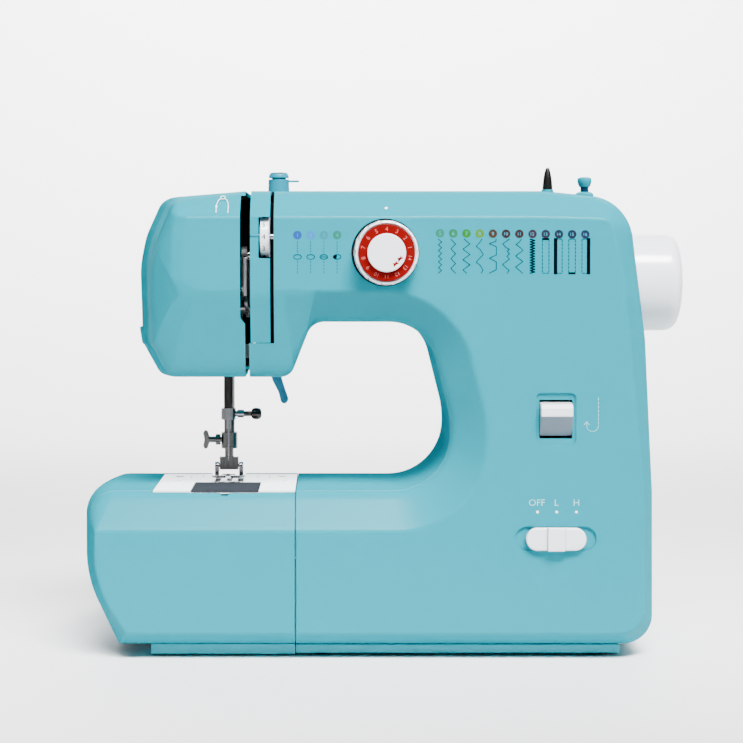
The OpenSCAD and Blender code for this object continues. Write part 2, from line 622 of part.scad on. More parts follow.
motor_y = -12;
motor_z = bed_frame_z + 4 + motor_r + gap;
motor_left = 74;
module motor() at_body(dark_steel) difference() {
    union() {
        rod_x(motor_left, drive_x - 10, motor_y, motor_z, motor_r);
        rod_x(drive_x - 10, drive_x - 7, motor_y, motor_z, 6);
    }
    rod_x(drive_x - 24, drive_x, motor_y, motor_z, 1.6 + run);
}
module motor_pulley() at_body(steel) {
    translate([0, motor_y, 0]) {
        rod_x(drive_x, drive_x + 7, 0, motor_z, motor_pulley_r - belt_t);
        for (e = [drive_x - 1.2, drive_x + 7]) rod_x(e, e + 1.2, 0, motor_z, motor_pulley_r + 0.8);
        rod_x(drive_x - 22, drive_x, 0, motor_z, 1.6);
    }
}

module crank_disc() at_body(steel) difference() {
    union() {
        rod_x(crank_x, crank_x + 5, 0, shaft_z, crank_r + 4);
        rod_x(crank_x - 3, crank_x, 0, shaft_z + crank_r, 3);
    }
    rod_x(crank_x - past, crank_x + 5 + past, 0, shaft_z, shaft_r - 1);
}
rod_x0 = crank_x - 3 - gap - 3;
module connecting_rod() at_body(alloy) plate_x(rod_x0, rod_x0 + 3) difference() {
    union() {
        translate([0, shaft_z + crank_r]) circle(5);
        translate([0, bar_stud_z]) circle(4.5);
        translate([-2.5, bar_stud_z]) square([5, shaft_z + crank_r - bar_stud_z]);
    }
    translate([0, shaft_z + crank_r]) circle(3);
}

// ---- Needle bar and presser ----
needle_top = top_h - 5;
bar_stud_z = shaft_z - 6.2;
module needle_bar() at_body(dark_steel) {
    rod_z(clamp_z + 1, needle_top, needle_x, 0, needle_bar_r);
    difference() {
        rod_z(bar_stud_z - 4, bar_stud_z + 4, needle_x, 0, 5);
        rod_z(bar_stud_z - 6, bar_stud_z + 6, needle_x, 0, needle_bar_r);
    }
    rod_x(needle_x + 4, rod_x0, 0, bar_stud_z, 2.2);
}
module needle_clamp() at_body(dark_steel) difference() {
    rod_z(clamp_z, clamp_z + clamp_h, needle_x, 0, 4.3);
    rod_z(clamp_z + 1, clamp_z + clamp_h + past, needle_x, 0, needle_bar_r);
    rod_z(clamp_z - past, clamp_z + 2, needle_x, 0, 1.1);
    rod_x(needle_x, needle_x + 6, 0, clamp_z + clamp_h / 2, 1.5 + run);
}
module clamp_screw() at_body(steel) translate([0, 0, clamp_z + clamp_h / 2]) {
    rod_x(needle_x + needle_bar_r + gap, needle_x + 14, 0, 0, 1.5);
    rod_x(needle_x + 5, needle_x + 9, 0, 0, 2.3);
    rod_x(needle_x + 13, needle_x + 19, 0, 0, 3.7);
}
module needle() at_body(steel) translate([needle_x, 0, 0]) {
    rod_z(clamp_z - 5.5, clamp_z + 1, 0, 0, 1.05);
    rod_z(clamp_z - needle_len + 3, clamp_z - 5, 0, 0, 0.45);
    translate([0, 0, clamp_z - needle_len]) cylinder(r1 = 0.06, r2 = 0.45, h = 3);
}

presser_x = needle_x;
presser_y = presser_back;
lifter_y = presser_y + 5.4;
lifter_pivot_x = needle_x + 27;
lifter_pivot_z = head_under + 11;
sole_z = bed_h + foot_gap;
module presser_bar() at_body(steel) {
    rod_z(sole_z + 16, top_h - 10, presser_x, presser_y, presser_r);
    difference() {
        rod_z(spring_low - 4, spring_low - gap, presser_x, presser_y, 5);
        rod_z(spring_low - 5, spring_low + 1, presser_x, presser_y, presser_r);
    }
}
spring_low = bracket_z[1] - 26;
module presser_spring() at_body(steel) {
    coils = 6;
    ring = 10;
    sides = 6;
    wire = 0.7;
    rings = coils * ring;
    r = presser_r + gap + wire;
    rise = (bracket_z[1] - spring_low - 2 * wire - gap) / rings;
    points = [for (i = [0:rings], j = [0:sides - 1])
        let (a = i * 360 / ring, b = j * 360 / sides, d = r + wire * cos(b))
        [presser_x + d * cos(a), presser_y + d * sin(a), spring_low + wire + i * rise + wire * sin(b)]];
    polyhedron(points = points, faces = concat(
        [[for (j = [0:sides - 1]) j]],
        [for (i = [0:rings - 1], j = [0:sides - 1]) let (k = (j + 1) % sides)
            each [[i * sides + j, (i + 1) * sides + j, (i + 1) * sides + k],
                  [i * sides + j, (i + 1) * sides + k, i * sides + k]]],
        [[for (j = [sides - 1:-1:0]) rings * sides + j]]));
}
foot_pin_z = sole_z + 6;
foot_pin_y = 7;
module foot_holder() at_body(steel) difference() {
    union() {
        rod_z(sole_z + 15.6, sole_z + 25, presser_x, presser_y, presser_r + 1.6);
        box_at([presser_x - 2.4, foot_pin_y - 2.4, sole_z + 9], [presser_x + 2.4, presser_y + 3, sole_z + 17]);
        box_at([presser_x - 5.4, foot_pin_y - 2.4, foot_pin_z - 2.4], [presser_x + 5.4, foot_pin_y + 2.4, sole_z + 11]);
    }
    rod_z(sole_z + 16, sole_z + 26, presser_x, presser_y, presser_r);
    rod_x(presser_x - 10, presser_x + 10, foot_pin_y, foot_pin_z, 1.2 + run);
    rod_x(presser_x - 10, presser_x - 1, presser_y, sole_z + 20.6, 1.5 + run);
}
module presser_foot() at_body(steel) {
    difference() {
        union() {
            // the heel rises, so that the toe can tilt up
            plate_x(needle_x - 9.5, needle_x + 9.5) polygon([[-7.5, sole_z], [foot_pin_y + 2, sole_z],
                [foot_pin_y + 8, sole_z + 1], [foot_pin_y + 8, sole_z + 2.2], [foot_pin_y + 2, sole_z + 1.4],
                [-7.5, sole_z + 1.4]]);
            for (s = [-1, 1])
                box_at([needle_x + s * 7 - 1.2, foot_pin_y - 2.4, sole_z + 1],
                    [needle_x + s * 7 + 1.2, foot_pin_y + 2.4, foot_pin_z + 2]);
        }
        box_at([needle_x - 3.8, -2.6, sole_z - past], [needle_x + 3.8, 2.2, sole_z + 2]);
        box_at([needle_x - 0.8, -10, sole_z - past], [needle_x + 0.8, 0, sole_z + 2]);
    }
    rod_x(needle_x - 8, needle_x + 8, foot_pin_y, foot_pin_z, 1.2);
}
module foot_screw() at_body(steel) translate([0, presser_y, sole_z + 20.6]) {
    rod_x(presser_x - 8, presser_x - presser_r - gap, 0, 0, 1.5);
    rod_x(presser_x - 8, presser_x - 5.1, 0, 0, 3.2);
    rod_x(presser_x - 12, presser_x - 8, 0, 0, 1.8);
    intersection() {
        rod_x(presser_x - 15.5, presser_x - 11.5, 0, 0, 5.8);
        box_at([presser_x - 16, -1.2, -6], [presser_x - 11, 1.2, 6]);
    }
}
module presser_lifter() at_body(lever_blue) {
    plate_y(lifter_y - 2, lifter_y + 2) translate([lifter_pivot_x, lifter_pivot_z]) {
        circle(4);
        polygon([[-4, 0], [-3, -11], [0.6, -22], [3.6, 2 - lifter_len],
            [7.4, 3.4 - lifter_len], [5, -20], [3, -11], [4, 0]]);
        translate([5.5, 2.5 - lifter_len]) circle(2.1);
    }
    rod_y(lifter_y, frame_y + frame_t, lifter_pivot_x, lifter_pivot_z, 2);
}

// ---- Thread path ----
take_x = slot_left + 1.8;
module take_up_lever() at_body(steel) plate_x(take_x, take_x + 1.6) difference() {
    union() {
        translate([take_y, take_z]) circle(4);
        polygon([[take_y + 1, take_z + 3.6], [take_y - 1, take_z - 3.6], [take_y - 26, take_z + 4],
            [take_y - 34, take_z + 9], [take_y - 37, take_z + 30], [take_y - 34.6, take_z + 31],
            [take_y - 29.5, take_z + 13], [take_y - 22, take_z + 10]]);
    }
    translate([take_y, take_z]) circle(2 + run);
}
take_y = -20;
take_z = shaft_z - 16;

tension_x = strip_right - 6.6;
tension_y = tension_r - half_depth - 1.6;
module tension_dial() at_body(white) difference() {
    rod_x(tension_x, tension_x + 5.4, tension_y, tension_z, tension_r);
    rod_x(tension_x - past, tension_x + 7, tension_y, tension_z, 2 + run);
    for (i = [0:23]) rotate_about_x(tension_y, tension_z, i * 15)
        box_at([tension_x - past, -0.3, tension_r - 0.5], [tension_x + 7, 0.3, tension_r + 1]);
}
module rotate_about_x(y, z, a) { translate([0, y, z]) rotate([a, 0, 0]) children(); }
module tension_discs() at_body(steel) {
    rod_x(strip_left + 0.4, slot_right + 6, tension_y, tension_z, 2);
    for (x = [strip_left + 1.2, strip_left + 2.4]) rod_x(x, x + 0.8, tension_y, tension_z, 6.5);
    box_at([slot_right + 2, tension_y - 4, tension_z - 5], [slot_right + 5, frame_y, tension_z - 1]);
    box_at([slot_right + 2, tension_y - 4, tension_z - 5], [slot_right + 5, tension_y + 4, tension_z + 4]);
}

// ---- Controls ----
dial_hub_r = 6;
dial_shaft_r = 3;
dial_back = -half_depth - 1;
module stitch_dial() at_body(white) {
    difference() {
        union() {
            rod_y(dial_back - dial_out + 3.4, dial_back, 0, dial_z, dial_r - 1);
            rod_y(dial_back - dial_out + 4.4, dial_back, 0, dial_z, dial_r - 0.4);
        }
        for (i = [0:dial_grips - 1]) translate([0, 0, dial_z]) rotate([0, (i + 0.5) * 360 / dial_grips, 0])
            rod_y(-half_depth - dial_out - 2, dial_back - 1.4, 0, dial_r + 2.4, 3.6);
        rod_y(dial_back - dial_out, dial_back - dial_out + 4.6, 0, dial_z, dial_r * 0.9);
    }
    rod_y(dial_back - dial_out, dial_back - 1, 0, dial_z, dial_r * 0.59);
    rod_y(dial_back - 1, -half_depth + 6, 0, dial_z, dial_hub_r);
    rod_y(-half_depth + 5, frame_y + frame_t + 1, 0, dial_z, dial_shaft_r);
}
module dial_ring() at_body(red) difference() {
    rod_y(dial_back - dial_out + 2.6, dial_back - dial_out + 4.6, 0, dial_z, dial_r * 0.88);
    rod_y(dial_back - dial_out, dial_back - dial_out + 5, 0, dial_z, dial_r * 0.59);
}
// Discs that set the width and the length of the stitches
cams = 5;
cam_step = 6;
cam_front = 12 - half_depth;
module cam_stack() at_body(white) difference() {
    union() for (i = [0:cams - 1])
        let (y = cam_front + i * cam_step)
            rod_y(y, y + 4.4, i % 2 == 0 ? 1 : -1, dial_z, 9 + (i % 3) * 0.6);
    rod_y(cam_front - 4, cam_front + cams * cam_step + 4, 0, dial_z, dial_shaft_r);
}

reverse_low = 123.2;
reverse_high = 142.6;
reverse_pivot_y = -43;
reverse_pivot_z = 133;
module reverse_lever() at_body(white) {
    plate_x(control_x - reverse_w / 2, control_x + reverse_w / 2) difference() {
        polygon([[-half_depth + 2, reverse_high - 0.6], [-half_depth - 4.4, reverse_high - 2.6],
            [-half_depth - 6, reverse_high - 4], [-half_depth - 6, reverse_high - 7.6],
            [-half_depth - 3, reverse_high - 9],
            [-half_depth + 5.4, reverse_low + 2.6], [-half_depth + 9, reverse_low + 2.6],
            [reverse_pivot_y + 3, reverse_pivot_z - 3], [reverse_pivot_y + 3, reverse_pivot_z + 3],
            [-half_depth + 9, reverse_high - 0.6]]);
        translate([reverse_pivot_y, reverse_pivot_z]) circle(1.5);
    }
    rod_x(control_x - reverse_w / 2 - 4, control_x + reverse_w / 2 + 4, reverse_pivot_y, reverse_pivot_z, 1.5);
}

module speed_switch() at_body(white) {
    plate_y(-half_depth - 3.6, -half_depth + 0.9) stadium(slider_len, slider_h);
    plate_y(-half_depth - 4.6, -half_depth - 3) intersection() {
        stadium(slider_len, slider_h);
        translate([control_x - 4.4, slider_z - slider_h]) square([8.8, 2 * slider_h]);
    }
    box_at([control_x - 6, -half_depth + 0.4, slider_z - 2], [control_x + 6, board_y - gap, slider_z + 2]);
}

board_y = -half_depth + 9;
module circuit_board() at_body(board_green) difference() {
    union() {
        box_at([control_x - 26, board_y, slider_z - 14], [control_x + 26, board_y + 1.6, slider_z + 42]);
        box_at([control_x - 20, board_y + 1.5, slider_z + 10], [control_x - 8, board_y + 9, slider_z + 34]);
        box_at([control_x - 2, board_y + 1.5, slider_z + 16], [control_x + 16, board_y + 6, slider_z + 26]);
        // brackets of the lever's pin, which stand on the board
        for (s = [-1, 1]) box_at([control_x + s * (reverse_w / 2 + 2.4) - 1.6, board_y + 1, slider_z + 38],
            [control_x + s * (reverse_w / 2 + 2.4) + 1.6, reverse_pivot_y + 4, reverse_pivot_z + 4]);
    }
    rod_x(control_x - 30, control_x + 30, reverse_pivot_y, reverse_pivot_z, 1.5 + run);
}

power_x = 118;
pedal_x = 98;
jack_z = 38;
jack_r = 5.4;
module jack(x, bore, deep) difference() {
    union() {
        rod_y(inner_front - 12, half_depth, x, jack_z, jack_r);
        box_at([x - 7, inner_front - 14, jack_z - 7], [x + 7, inner_front - gap, jack_z + 7]);
    }
    rod_y(half_depth - deep, half_depth + past, x, jack_z, bore);
}
module power_jack() at_body(black) jack(power_x, 2.8, 9);
module pedal_jack() at_body(black) jack(pedal_x, 1.8, 12);

// ---- Top fittings ----
fitting_y = 8;
stopper_x = winder_x + 21.4;
stopper_r = 2.4;
module winder_arm() at_body(dark_steel) difference() {
    union() {
        box_at([winder_x - 8, frame_y + frame_t + gap, top_h - 22],
            [winder_x + 8, frame_y + frame_t + 5, top_h - 6]);
        box_at([winder_x - 8, fitting_y - 6, top_h - 10], [winder_x + 8, frame_y + frame_t + 5, top_h - 6]);
    }
    rod_z(top_h - 24, top_h, winder_x, fitting_y, 2 + run);
}
module winder_spindle() at_body(dark_steel) translate([winder_x, fitting_y, 0]) {
    rod_z(top_h - 15, top_h - 5, 0, 0, 2);
    rod_z(top_h - 18, top_h - 10.3, 0, 0, 6);
    rod_z(top_h - 5.7, top_h + 1, 0, 0, winder_r + 0.6);
    rod_z(top_h, top_h + winder_out - 5, 0, 0, winder_r);
    translate([0, 0, top_h + winder_out - 5]) cylinder(r1 = winder_r, r2 = 1, h = 5);
}
stopper_flange = 5.2;
stopper_low = top_h - 1.6;
module winder_stopper() at_body(plastic) translate([stopper_x, fitting_y, 0]) {
    rod_z(top_h - 8, top_h + 6, 0, 0, stopper_r);
    rod_z(stopper_low, stopper_low + 2.3, 0, 0, stopper_flange);
    translate([0, 0, top_h + 3.6]) cylinder(r1 = 2.6, r2 = 4.2, h = 3);
    rod_z(top_h + 6.5, top_h + 9.4, 0, 0, 4.2);
}

post_x = needle_x + 28.8;
module thread_guide_post() at_body(plastic) translate([post_x, fitting_y, 0]) {
    rod_z(top_h - 6, top_h + 1, 0, 0, 2);
    difference() {
        rod_z(top_h + gap, top_h + 12.4, 0, 0, post_w / 2);
        difference() {
            rod_z(top_h + 8, top_h + 8.8, 0, 0, post_w);
            rod_z(top_h + 7, top_h + 10, 0, 0, post_w / 2 - 2);
        }
    }
    box_at([post_w / 2 - 1, -1.2, top_h + 6.4], [post_w / 2 + 5.6, 1.2, top_h + 7.6]);
}

spool_y = 30;
spool_deep = 62;
module spool_pin() at_body(white) {
    rod_z(top_h - spool_deep, top_h + 1.4, spool_x, spool_y, spool_r);
    rod_z(top_h - spool_deep, top_h - spool_deep + 4, spool_x, spool_y, spool_r + 1);
}

front_cover();
rear_cover();
face_cover();
thread_strip();
extension_table();
free_arm_cover();
needle_plate();
bobbin_cover();
base_plate();
rubber_feet();
bed_frame();
column_frame();
arm_frame();
head_bracket();
shaft_bushes();
upper_shaft();
handwheel();
drive_pulley();
timing_pulleys();
timing_belt();
lower_shaft();
lower_pulley();
hook_drive_gear();
hook_shaft();
rotary_hook();
bobbin_case();
bobbin();
feed_bar();
feed_dogs();
motor();
motor_pulley();
motor_belt();
crank_disc();
connecting_rod();
needle_bar();
needle_clamp();
clamp_screw();
needle();
presser_bar();
presser_spring();
foot_holder();
presser_foot();
foot_screw();
presser_lifter();
take_up_lever();
tension_dial();
tension_discs();
stitch_dial();
dial_ring();
cam_stack();
reverse_lever();
speed_switch();
circuit_board();
power_jack();
pedal_jack();
winder_arm();
winder_spindle();
winder_stopper();
thread_guide_post();
spool_pin();
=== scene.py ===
from contextlib import contextmanager
import json
from math import acos, atan2, cos, hypot, pi, radians, sin, sqrt, tan
import bpy
import bmesh
import numpy as np
from mathutils import Matrix, Vector


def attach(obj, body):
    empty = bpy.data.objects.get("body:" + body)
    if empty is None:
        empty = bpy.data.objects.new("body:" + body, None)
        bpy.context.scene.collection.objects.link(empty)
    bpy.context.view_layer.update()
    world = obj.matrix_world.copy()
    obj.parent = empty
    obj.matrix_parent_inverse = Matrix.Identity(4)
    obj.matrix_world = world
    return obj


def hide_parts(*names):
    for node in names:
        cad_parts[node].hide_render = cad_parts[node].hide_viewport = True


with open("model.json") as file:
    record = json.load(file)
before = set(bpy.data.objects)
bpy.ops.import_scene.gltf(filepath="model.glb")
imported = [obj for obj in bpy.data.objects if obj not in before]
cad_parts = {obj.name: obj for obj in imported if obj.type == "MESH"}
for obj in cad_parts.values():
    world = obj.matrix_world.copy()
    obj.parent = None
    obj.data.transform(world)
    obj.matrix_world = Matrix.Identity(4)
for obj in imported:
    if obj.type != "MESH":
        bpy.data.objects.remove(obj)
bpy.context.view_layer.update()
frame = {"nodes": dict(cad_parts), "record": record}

scene = bpy.context.scene
mm = 0.001  # the scene is in metres
midY = 7  # mm, the body's middle plane in the row frame; the lengths below are mm from that plane


# small tools

def toWorld(p):
    return (p[0] * mm, (p[1] + midY) * mm, p[2] * mm)


def newObject(name, data):
    obj = bpy.data.objects.new(name, data)
    scene.collection.objects.link(obj)
    return obj


@contextmanager
def editing(mesh):
    bm = bmesh.new()
    bm.from_mesh(mesh)
    yield bm
    bm.to_mesh(mesh)
    bm.free()


def newPiece(name, points, faces, material, merge=True):
    mesh = bpy.data.meshes.new(name)
    mesh.from_pydata([toWorld(p) for p in points], [], faces)
    if material:
        mesh.materials.append(material)
    with editing(mesh) as bm:
        if merge:
            bmesh.ops.remove_doubles(bm, verts=bm.verts, dist=1e-6)
        bmesh.ops.recalc_face_normals(bm, faces=bm.faces)
    return newObject(name, mesh)


def applyAll(obj):
    # the evaluated mesh takes the place of the mesh with its modifiers
    graph = bpy.context.evaluated_depsgraph_get()
    done = bpy.data.meshes.new_from_object(obj.evaluated_get(graph), preserve_all_data_layers=True, depsgraph=graph)
    obj.modifiers.clear()
    obj.data = done
    done.name = obj.name
    return obj


def smooth(obj, angle=32):
    obj.data.polygons.foreach_set("use_smooth", [True] * len(obj.data.polygons))
    obj.data.set_sharp_from_angle(angle=radians(angle))
    mod = obj.modifiers.new("weights", "WEIGHTED_NORMAL")
    mod.keep_sharp = True
    mod.weight = 60
    return applyAll(obj)


def cutOut(obj, cutters):
    for cutter in cutters:
        mod = obj.modifiers.new("cut", "BOOLEAN")
        mod.operation = "DIFFERENCE"
        mod.solver = "EXACT"
        mod.object = cutter
        if cutter.data.materials:
            mod.material_mode = "TRANSFER"
    applyAll(obj)
    for cutter in cutters:
        bpy.data.objects.remove(cutter)
    with editing(obj.data) as bm:
        bmesh.ops.dissolve_degenerate(bm, dist=1e-6, edges=bm.edges)
    return obj


def bevel(obj, width, segments=2, angle=35):
    mod = obj.modifiers.new("edge", "BEVEL")
    mod.width = width * mm
    mod.segments = segments
    mod.limit_method = "ANGLE"
    mod.angle_limit = radians(angle)
    mod.use_clamp_overlap = True
    return applyAll(obj)


def join(name, objs):
    bm = bmesh.new()
    materials = []
    for obj in objs:
        start = len(bm.faces)
        bm.from_mesh(obj.data)
        bm.faces.ensure_lookup_table()
        for f in bm.faces[start:]:
            m = obj.data.materials[f.material_index]
            if m not in materials:
                materials.append(m)
            f.material_index = materials.index(m)
        bpy.data.objects.remove(obj)
    mesh = bpy.data.meshes.new(name)
    bm.to_mesh(mesh)
    bm.free()
    for m in materials:
        mesh.materials.append(m)
    return newObject(name, mesh)


def place(obj, body, *nodes, slot=None, soft=None):
    # soft is the angle in degrees above which an edge stays sharp
    if soft:
        smooth(obj, soft)
    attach(obj, body)
    if nodes:
        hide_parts(*nodes)
    return obj


def prism(name, outline, axis, low, high, material=None):
    # outline: two coordinates in the plane across axis, as (y, z), (x, z) or (x, y)
    def at(p, d):
        return {"x": (d, p[0], p[1]), "y": (p[0], d, p[1]), "z": (p[0], p[1], d)}[axis]
    n = len(outline)
    points = [at(p, low) for p in outline] + [at(p, high) for p in outline]
    faces = [list(range(n)), list(range(2 * n - 1, n - 1, -1))]
    faces += [[i, (i + 1) % n, n + (i + 1) % n, n + i] for i in range(n)]
    return newPiece(name, points, faces, material)


def block(name, low, high, material=None):
    return prism(name, [(low[0], low[1]), (high[0], low[1]), (high[0], high[1]), (low[0], high[1])],
                 "z", low[2], high[2], material)


def ring(cx, cz, r, count):
    return [(cx + r * cos(2 * pi * i / count), cz + r * sin(2 * pi * i / count)) for i in range(count)]


def oval(x, z, rx, rz, steps=24, start=0, end=2 * pi):
    return [(x + rx * cos(start + (end - start) * i / steps), z + rz * sin(start + (end - start) * i / steps))
            for i in range(steps + 1)]


def rounded2(cx, cz, w, h, r, steps=8):
    out = []
    for sx, sz, a0 in ((1, 1, 0), (-1, 1, 90), (-1, -1, 180), (1, -1, 270)):
        for i in range(steps + 1):
            a = radians(a0 + 90 * i / steps)
            out.append((cx + sx * (w / 2 - r) + r * cos(a), cz + sz * (h / 2 - r) + r * sin(a)))
    return out


def lathe(name, profile, centre, axis, material, count=96, rounding=0):
    # profile: (distance along the axis, radius) from one end to the other; radius 0 closes an end
    # rounding: steps in a rounded corner; if it is given, each point also has the size of its rounding
    profile = arcProfile(profile, rounding) if rounding else profile
    points, faces, rows = [], [], []
    u, v = {"x": ((0, 1, 0), (0, 0, 1)), "y": ((1, 0, 0), (0, 0, 1)), "z": ((1, 0, 0), (0, 1, 0))}[axis]
    d = {"x": (1, 0, 0), "y": (0, 1, 0), "z": (0, 0, 1)}[axis]
    for s, r in profile:
        row = []
        if r < 1e-6:
            row = [len(points)] * count
            points.append([centre[k] + d[k] * s for k in range(3)])
        else:
            for i in range(count):
                a = 2 * pi * i / count
                row.append(len(points))
                points.append([centre[k] + d[k] * s + r * (u[k] * cos(a) + v[k] * sin(a)) for k in range(3)])
        rows.append(row)
    for low, high in zip(rows, rows[1:]):
        for i in range(count):
            j = (i + 1) % count
            face = []
            for p in (low[i], low[j], high[j], high[i]):
                if p not in face:
                    face.append(p)
            if len(face) > 2:
                faces.append(face)
    for row in (rows[0], rows[-1]):
        if len(set(row)) > 1:
            faces.append(row)
    return newPiece(name, points, faces, material)


def arcProfile(points, steps):
    # (along, radius, rounding) corners of a lathe profile, rounded
    out = []
    for i, (s, r, c) in enumerate(points):
        if c <= 0 or i in (0, len(points) - 1):
            out.append((s, r))
            continue
        here = np.array([s, r], float)
        a = np.array(points[i - 1][:2], float) - here
        b = np.array(points[i + 1][:2], float) - here
        a, b = a / np.linalg.norm(a) * c, b / np.linalg.norm(b) * c
        for k in range(steps + 1):
            t = k / steps
            out.append(tuple(here + a * (1 - t) ** 2 + b * t ** 2))
    return out


def about(at, angle, axis):
    # a turn about a point in metres
    return Matrix.Translation(at) @ Matrix.Rotation(angle, 4, axis) @ Matrix.Translation(-Vector(at))


def upright(at):
    # stands a set of copies made about Z, or along X, on the X axis of a place in mm
    return Matrix.Translation(toWorld(at)) @ Matrix.Rotation(pi / 2, 4, "Y")


def lettering(name, text, size, centre, turn, material, y):
    # flat text on a plane across Y, read from the front
    curve = bpy.data.curves.new(name, "FONT")
    curve.body = text
    curve.size = size * mm
    curve.align_x, curve.align_y = "CENTER", "CENTER"
    curve.extrude = 0.09 * mm / 2
    curve.resolution_u = 3
    obj = newObject(name, curve)
    graph = bpy.context.evaluated_depsgraph_get()
    mesh = bpy.data.meshes.new_from_object(obj.evaluated_get(graph))
    bpy.data.objects.remove(obj)
    mesh.materials.clear()
    mesh.materials.append(material)
    co = [v.co for v in mesh.vertices]
    mx = (min(c.x for c in co) + max(c.x for c in co)) / 2
    my = (min(c.y for c in co) + max(c.y for c in co)) / 2
    at = Vector(toWorld((centre[0], y, centre[1])))
    move = Matrix.Translation(at) @ Matrix.Rotation(turn, 4, "Y") @ Matrix.Rotation(radians(90), 4, "X") \
        @ Matrix.Translation((-mx, -my, 0))
    mesh.transform(move)
    return newObject(name, mesh)


def strokes(name, lines, width, material, y):
    # drawn lines as thin raised ribbons on a plane across Y
    points, faces = [], []
    for line in lines:
        for a, b in zip(line, line[1:]):
            a, b = Vector(a), Vector(b)
            d = b - a
            if d.length < 1e-6:
                continue
            d.normalize()
            s = Vector((-d.y, d.x)) * width / 2
            a, b = a - d * width * 0.3, b + d * width * 0.3
            base = len(points)
            points += [(p.x, depth, p.y) for depth in (y, y - 0.08) for p in (a + s, b + s, b - s, a - s)]
            faces += [[base + 4, base + 5, base + 6, base + 7], [base + 3, base + 2, base + 1, base]]
            faces += [[base + i, base + (i + 1) % 4, base + 4 + (i + 1) % 4, base + 4 + i] for i in range(4)]
    return newPiece(name, points, faces, material, merge=False)


# Geometry Nodes for what repeats

def feed(tree, node, inputs):
    # an input is a value for its socket, or another node's socket that is linked into it
    for key, value in inputs.items():
        if isinstance(value, bpy.types.NodeSocket):
            tree.links.new(value, node.inputs[key])
        else:
            node.inputs[key].default_value = value


def addNode(tree, kind, inputs=None, **settings):
    node = tree.nodes.new(kind)
    for key, value in settings.items():
        setattr(node, key, value)
    feed(tree, node, inputs or {})
    return node


def arrayTree(name, around):
    # copies of one small shape, in a circle about Z or in a row along X, each as the inputs say
    tree = bpy.data.node_groups.new(name, "GeometryNodeTree")
    for label, kind in (("Geometry", "Geometry"), ("Count", "Int"), ("Radius" if around else "Length", "Float"),
                        ("Shape", "Object"), ("Finish", "Material")):
        tree.interface.new_socket(label, in_out="INPUT", socket_type="NodeSocket" + kind)
    tree.interface.new_socket("Geometry", in_out="OUTPUT", socket_type="NodeSocketGeometry")
    given = addNode(tree, "NodeGroupInput").outputs
    if around:
        base = addNode(tree, "GeometryNodeMeshCircle", {"Vertices": given["Count"], "Radius": given["Radius"]})
        index = addNode(tree, "GeometryNodeInputIndex").outputs[0]
        step = addNode(tree, "ShaderNodeMath", {0: 2 * pi, 1: given["Count"]}, operation="DIVIDE").outputs[0]
        turn = addNode(tree, "ShaderNodeMath", {0: step, 1: index}, operation="MULTIPLY").outputs[0]
        turned = {"Rotation": addNode(tree, "ShaderNodeCombineXYZ", {"Z": turn}).outputs[0]}
    else:
        far = addNode(tree, "ShaderNodeCombineXYZ", {"X": given["Length"]}).outputs[0]
        base = addNode(tree, "GeometryNodeMeshLine", {"Count": given["Count"], "Offset": far}, mode="END_POINTS")
        turned = {}
    info = addNode(tree, "GeometryNodeObjectInfo", {"Object": given["Shape"]})
    copies = addNode(tree, "GeometryNodeInstanceOnPoints", {
        "Points": base.outputs["Mesh"], "Instance": info.outputs["Geometry"], **turned})
    real = addNode(tree, "GeometryNodeRealizeInstances", {0: copies.outputs[0]})
    paint = addNode(tree, "GeometryNodeSetMaterial", {0: real.outputs[0], "Material": given["Finish"]})
    addNode(tree, "NodeGroupOutput", {0: paint.outputs[0]})
    return tree


ringTree = arrayTree("copiesRound", True)
rowTree = arrayTree("copiesAlong", False)


def spread(name, tree, count, reach, shape, material, matrix):
    # shape: points in metres about the copy's own origin, and faces; matrix carries the finished set to its place
    mesh = bpy.data.meshes.new(name + "Unit")
    mesh.from_pydata(shape[0], [], shape[1])
    with editing(mesh) as bm:
        bmesh.ops.recalc_face_normals(bm, faces=bm.faces)
    unit = newObject(name + "Unit", mesh)
    host = newObject(name, bpy.data.meshes.new(name))
    mod = host.modifiers.new("copies", "NODES")
    mod.node_group = tree
    values = {"Count": count, "Radius": reach, "Length": reach, "Shape": unit, "Finish": material}
    for item in tree.interface.items_tree:
        if item.in_out == "INPUT" and item.name in values:
            mod[item.identifier] = values[item.name]
    applyAll(host)
    bpy.data.objects.remove(unit)
    host.data.transform(matrix)
    host.data.materials.clear()
    host.data.materials.append(material)
    return host


def boxUnit(sx, sy, sz):
    points = [(x * sx * mm / 2, y * sy * mm / 2, z * sz * mm / 2) for z in (-1, 1) for y in (-1, 1) for x in (-1, 1)]
    return points, [(0, 1, 3, 2), (4, 6, 7, 5), (0, 4, 5, 1), (2, 3, 7, 6), (0, 2, 6, 4), (1, 5, 7, 3)]


# finishes

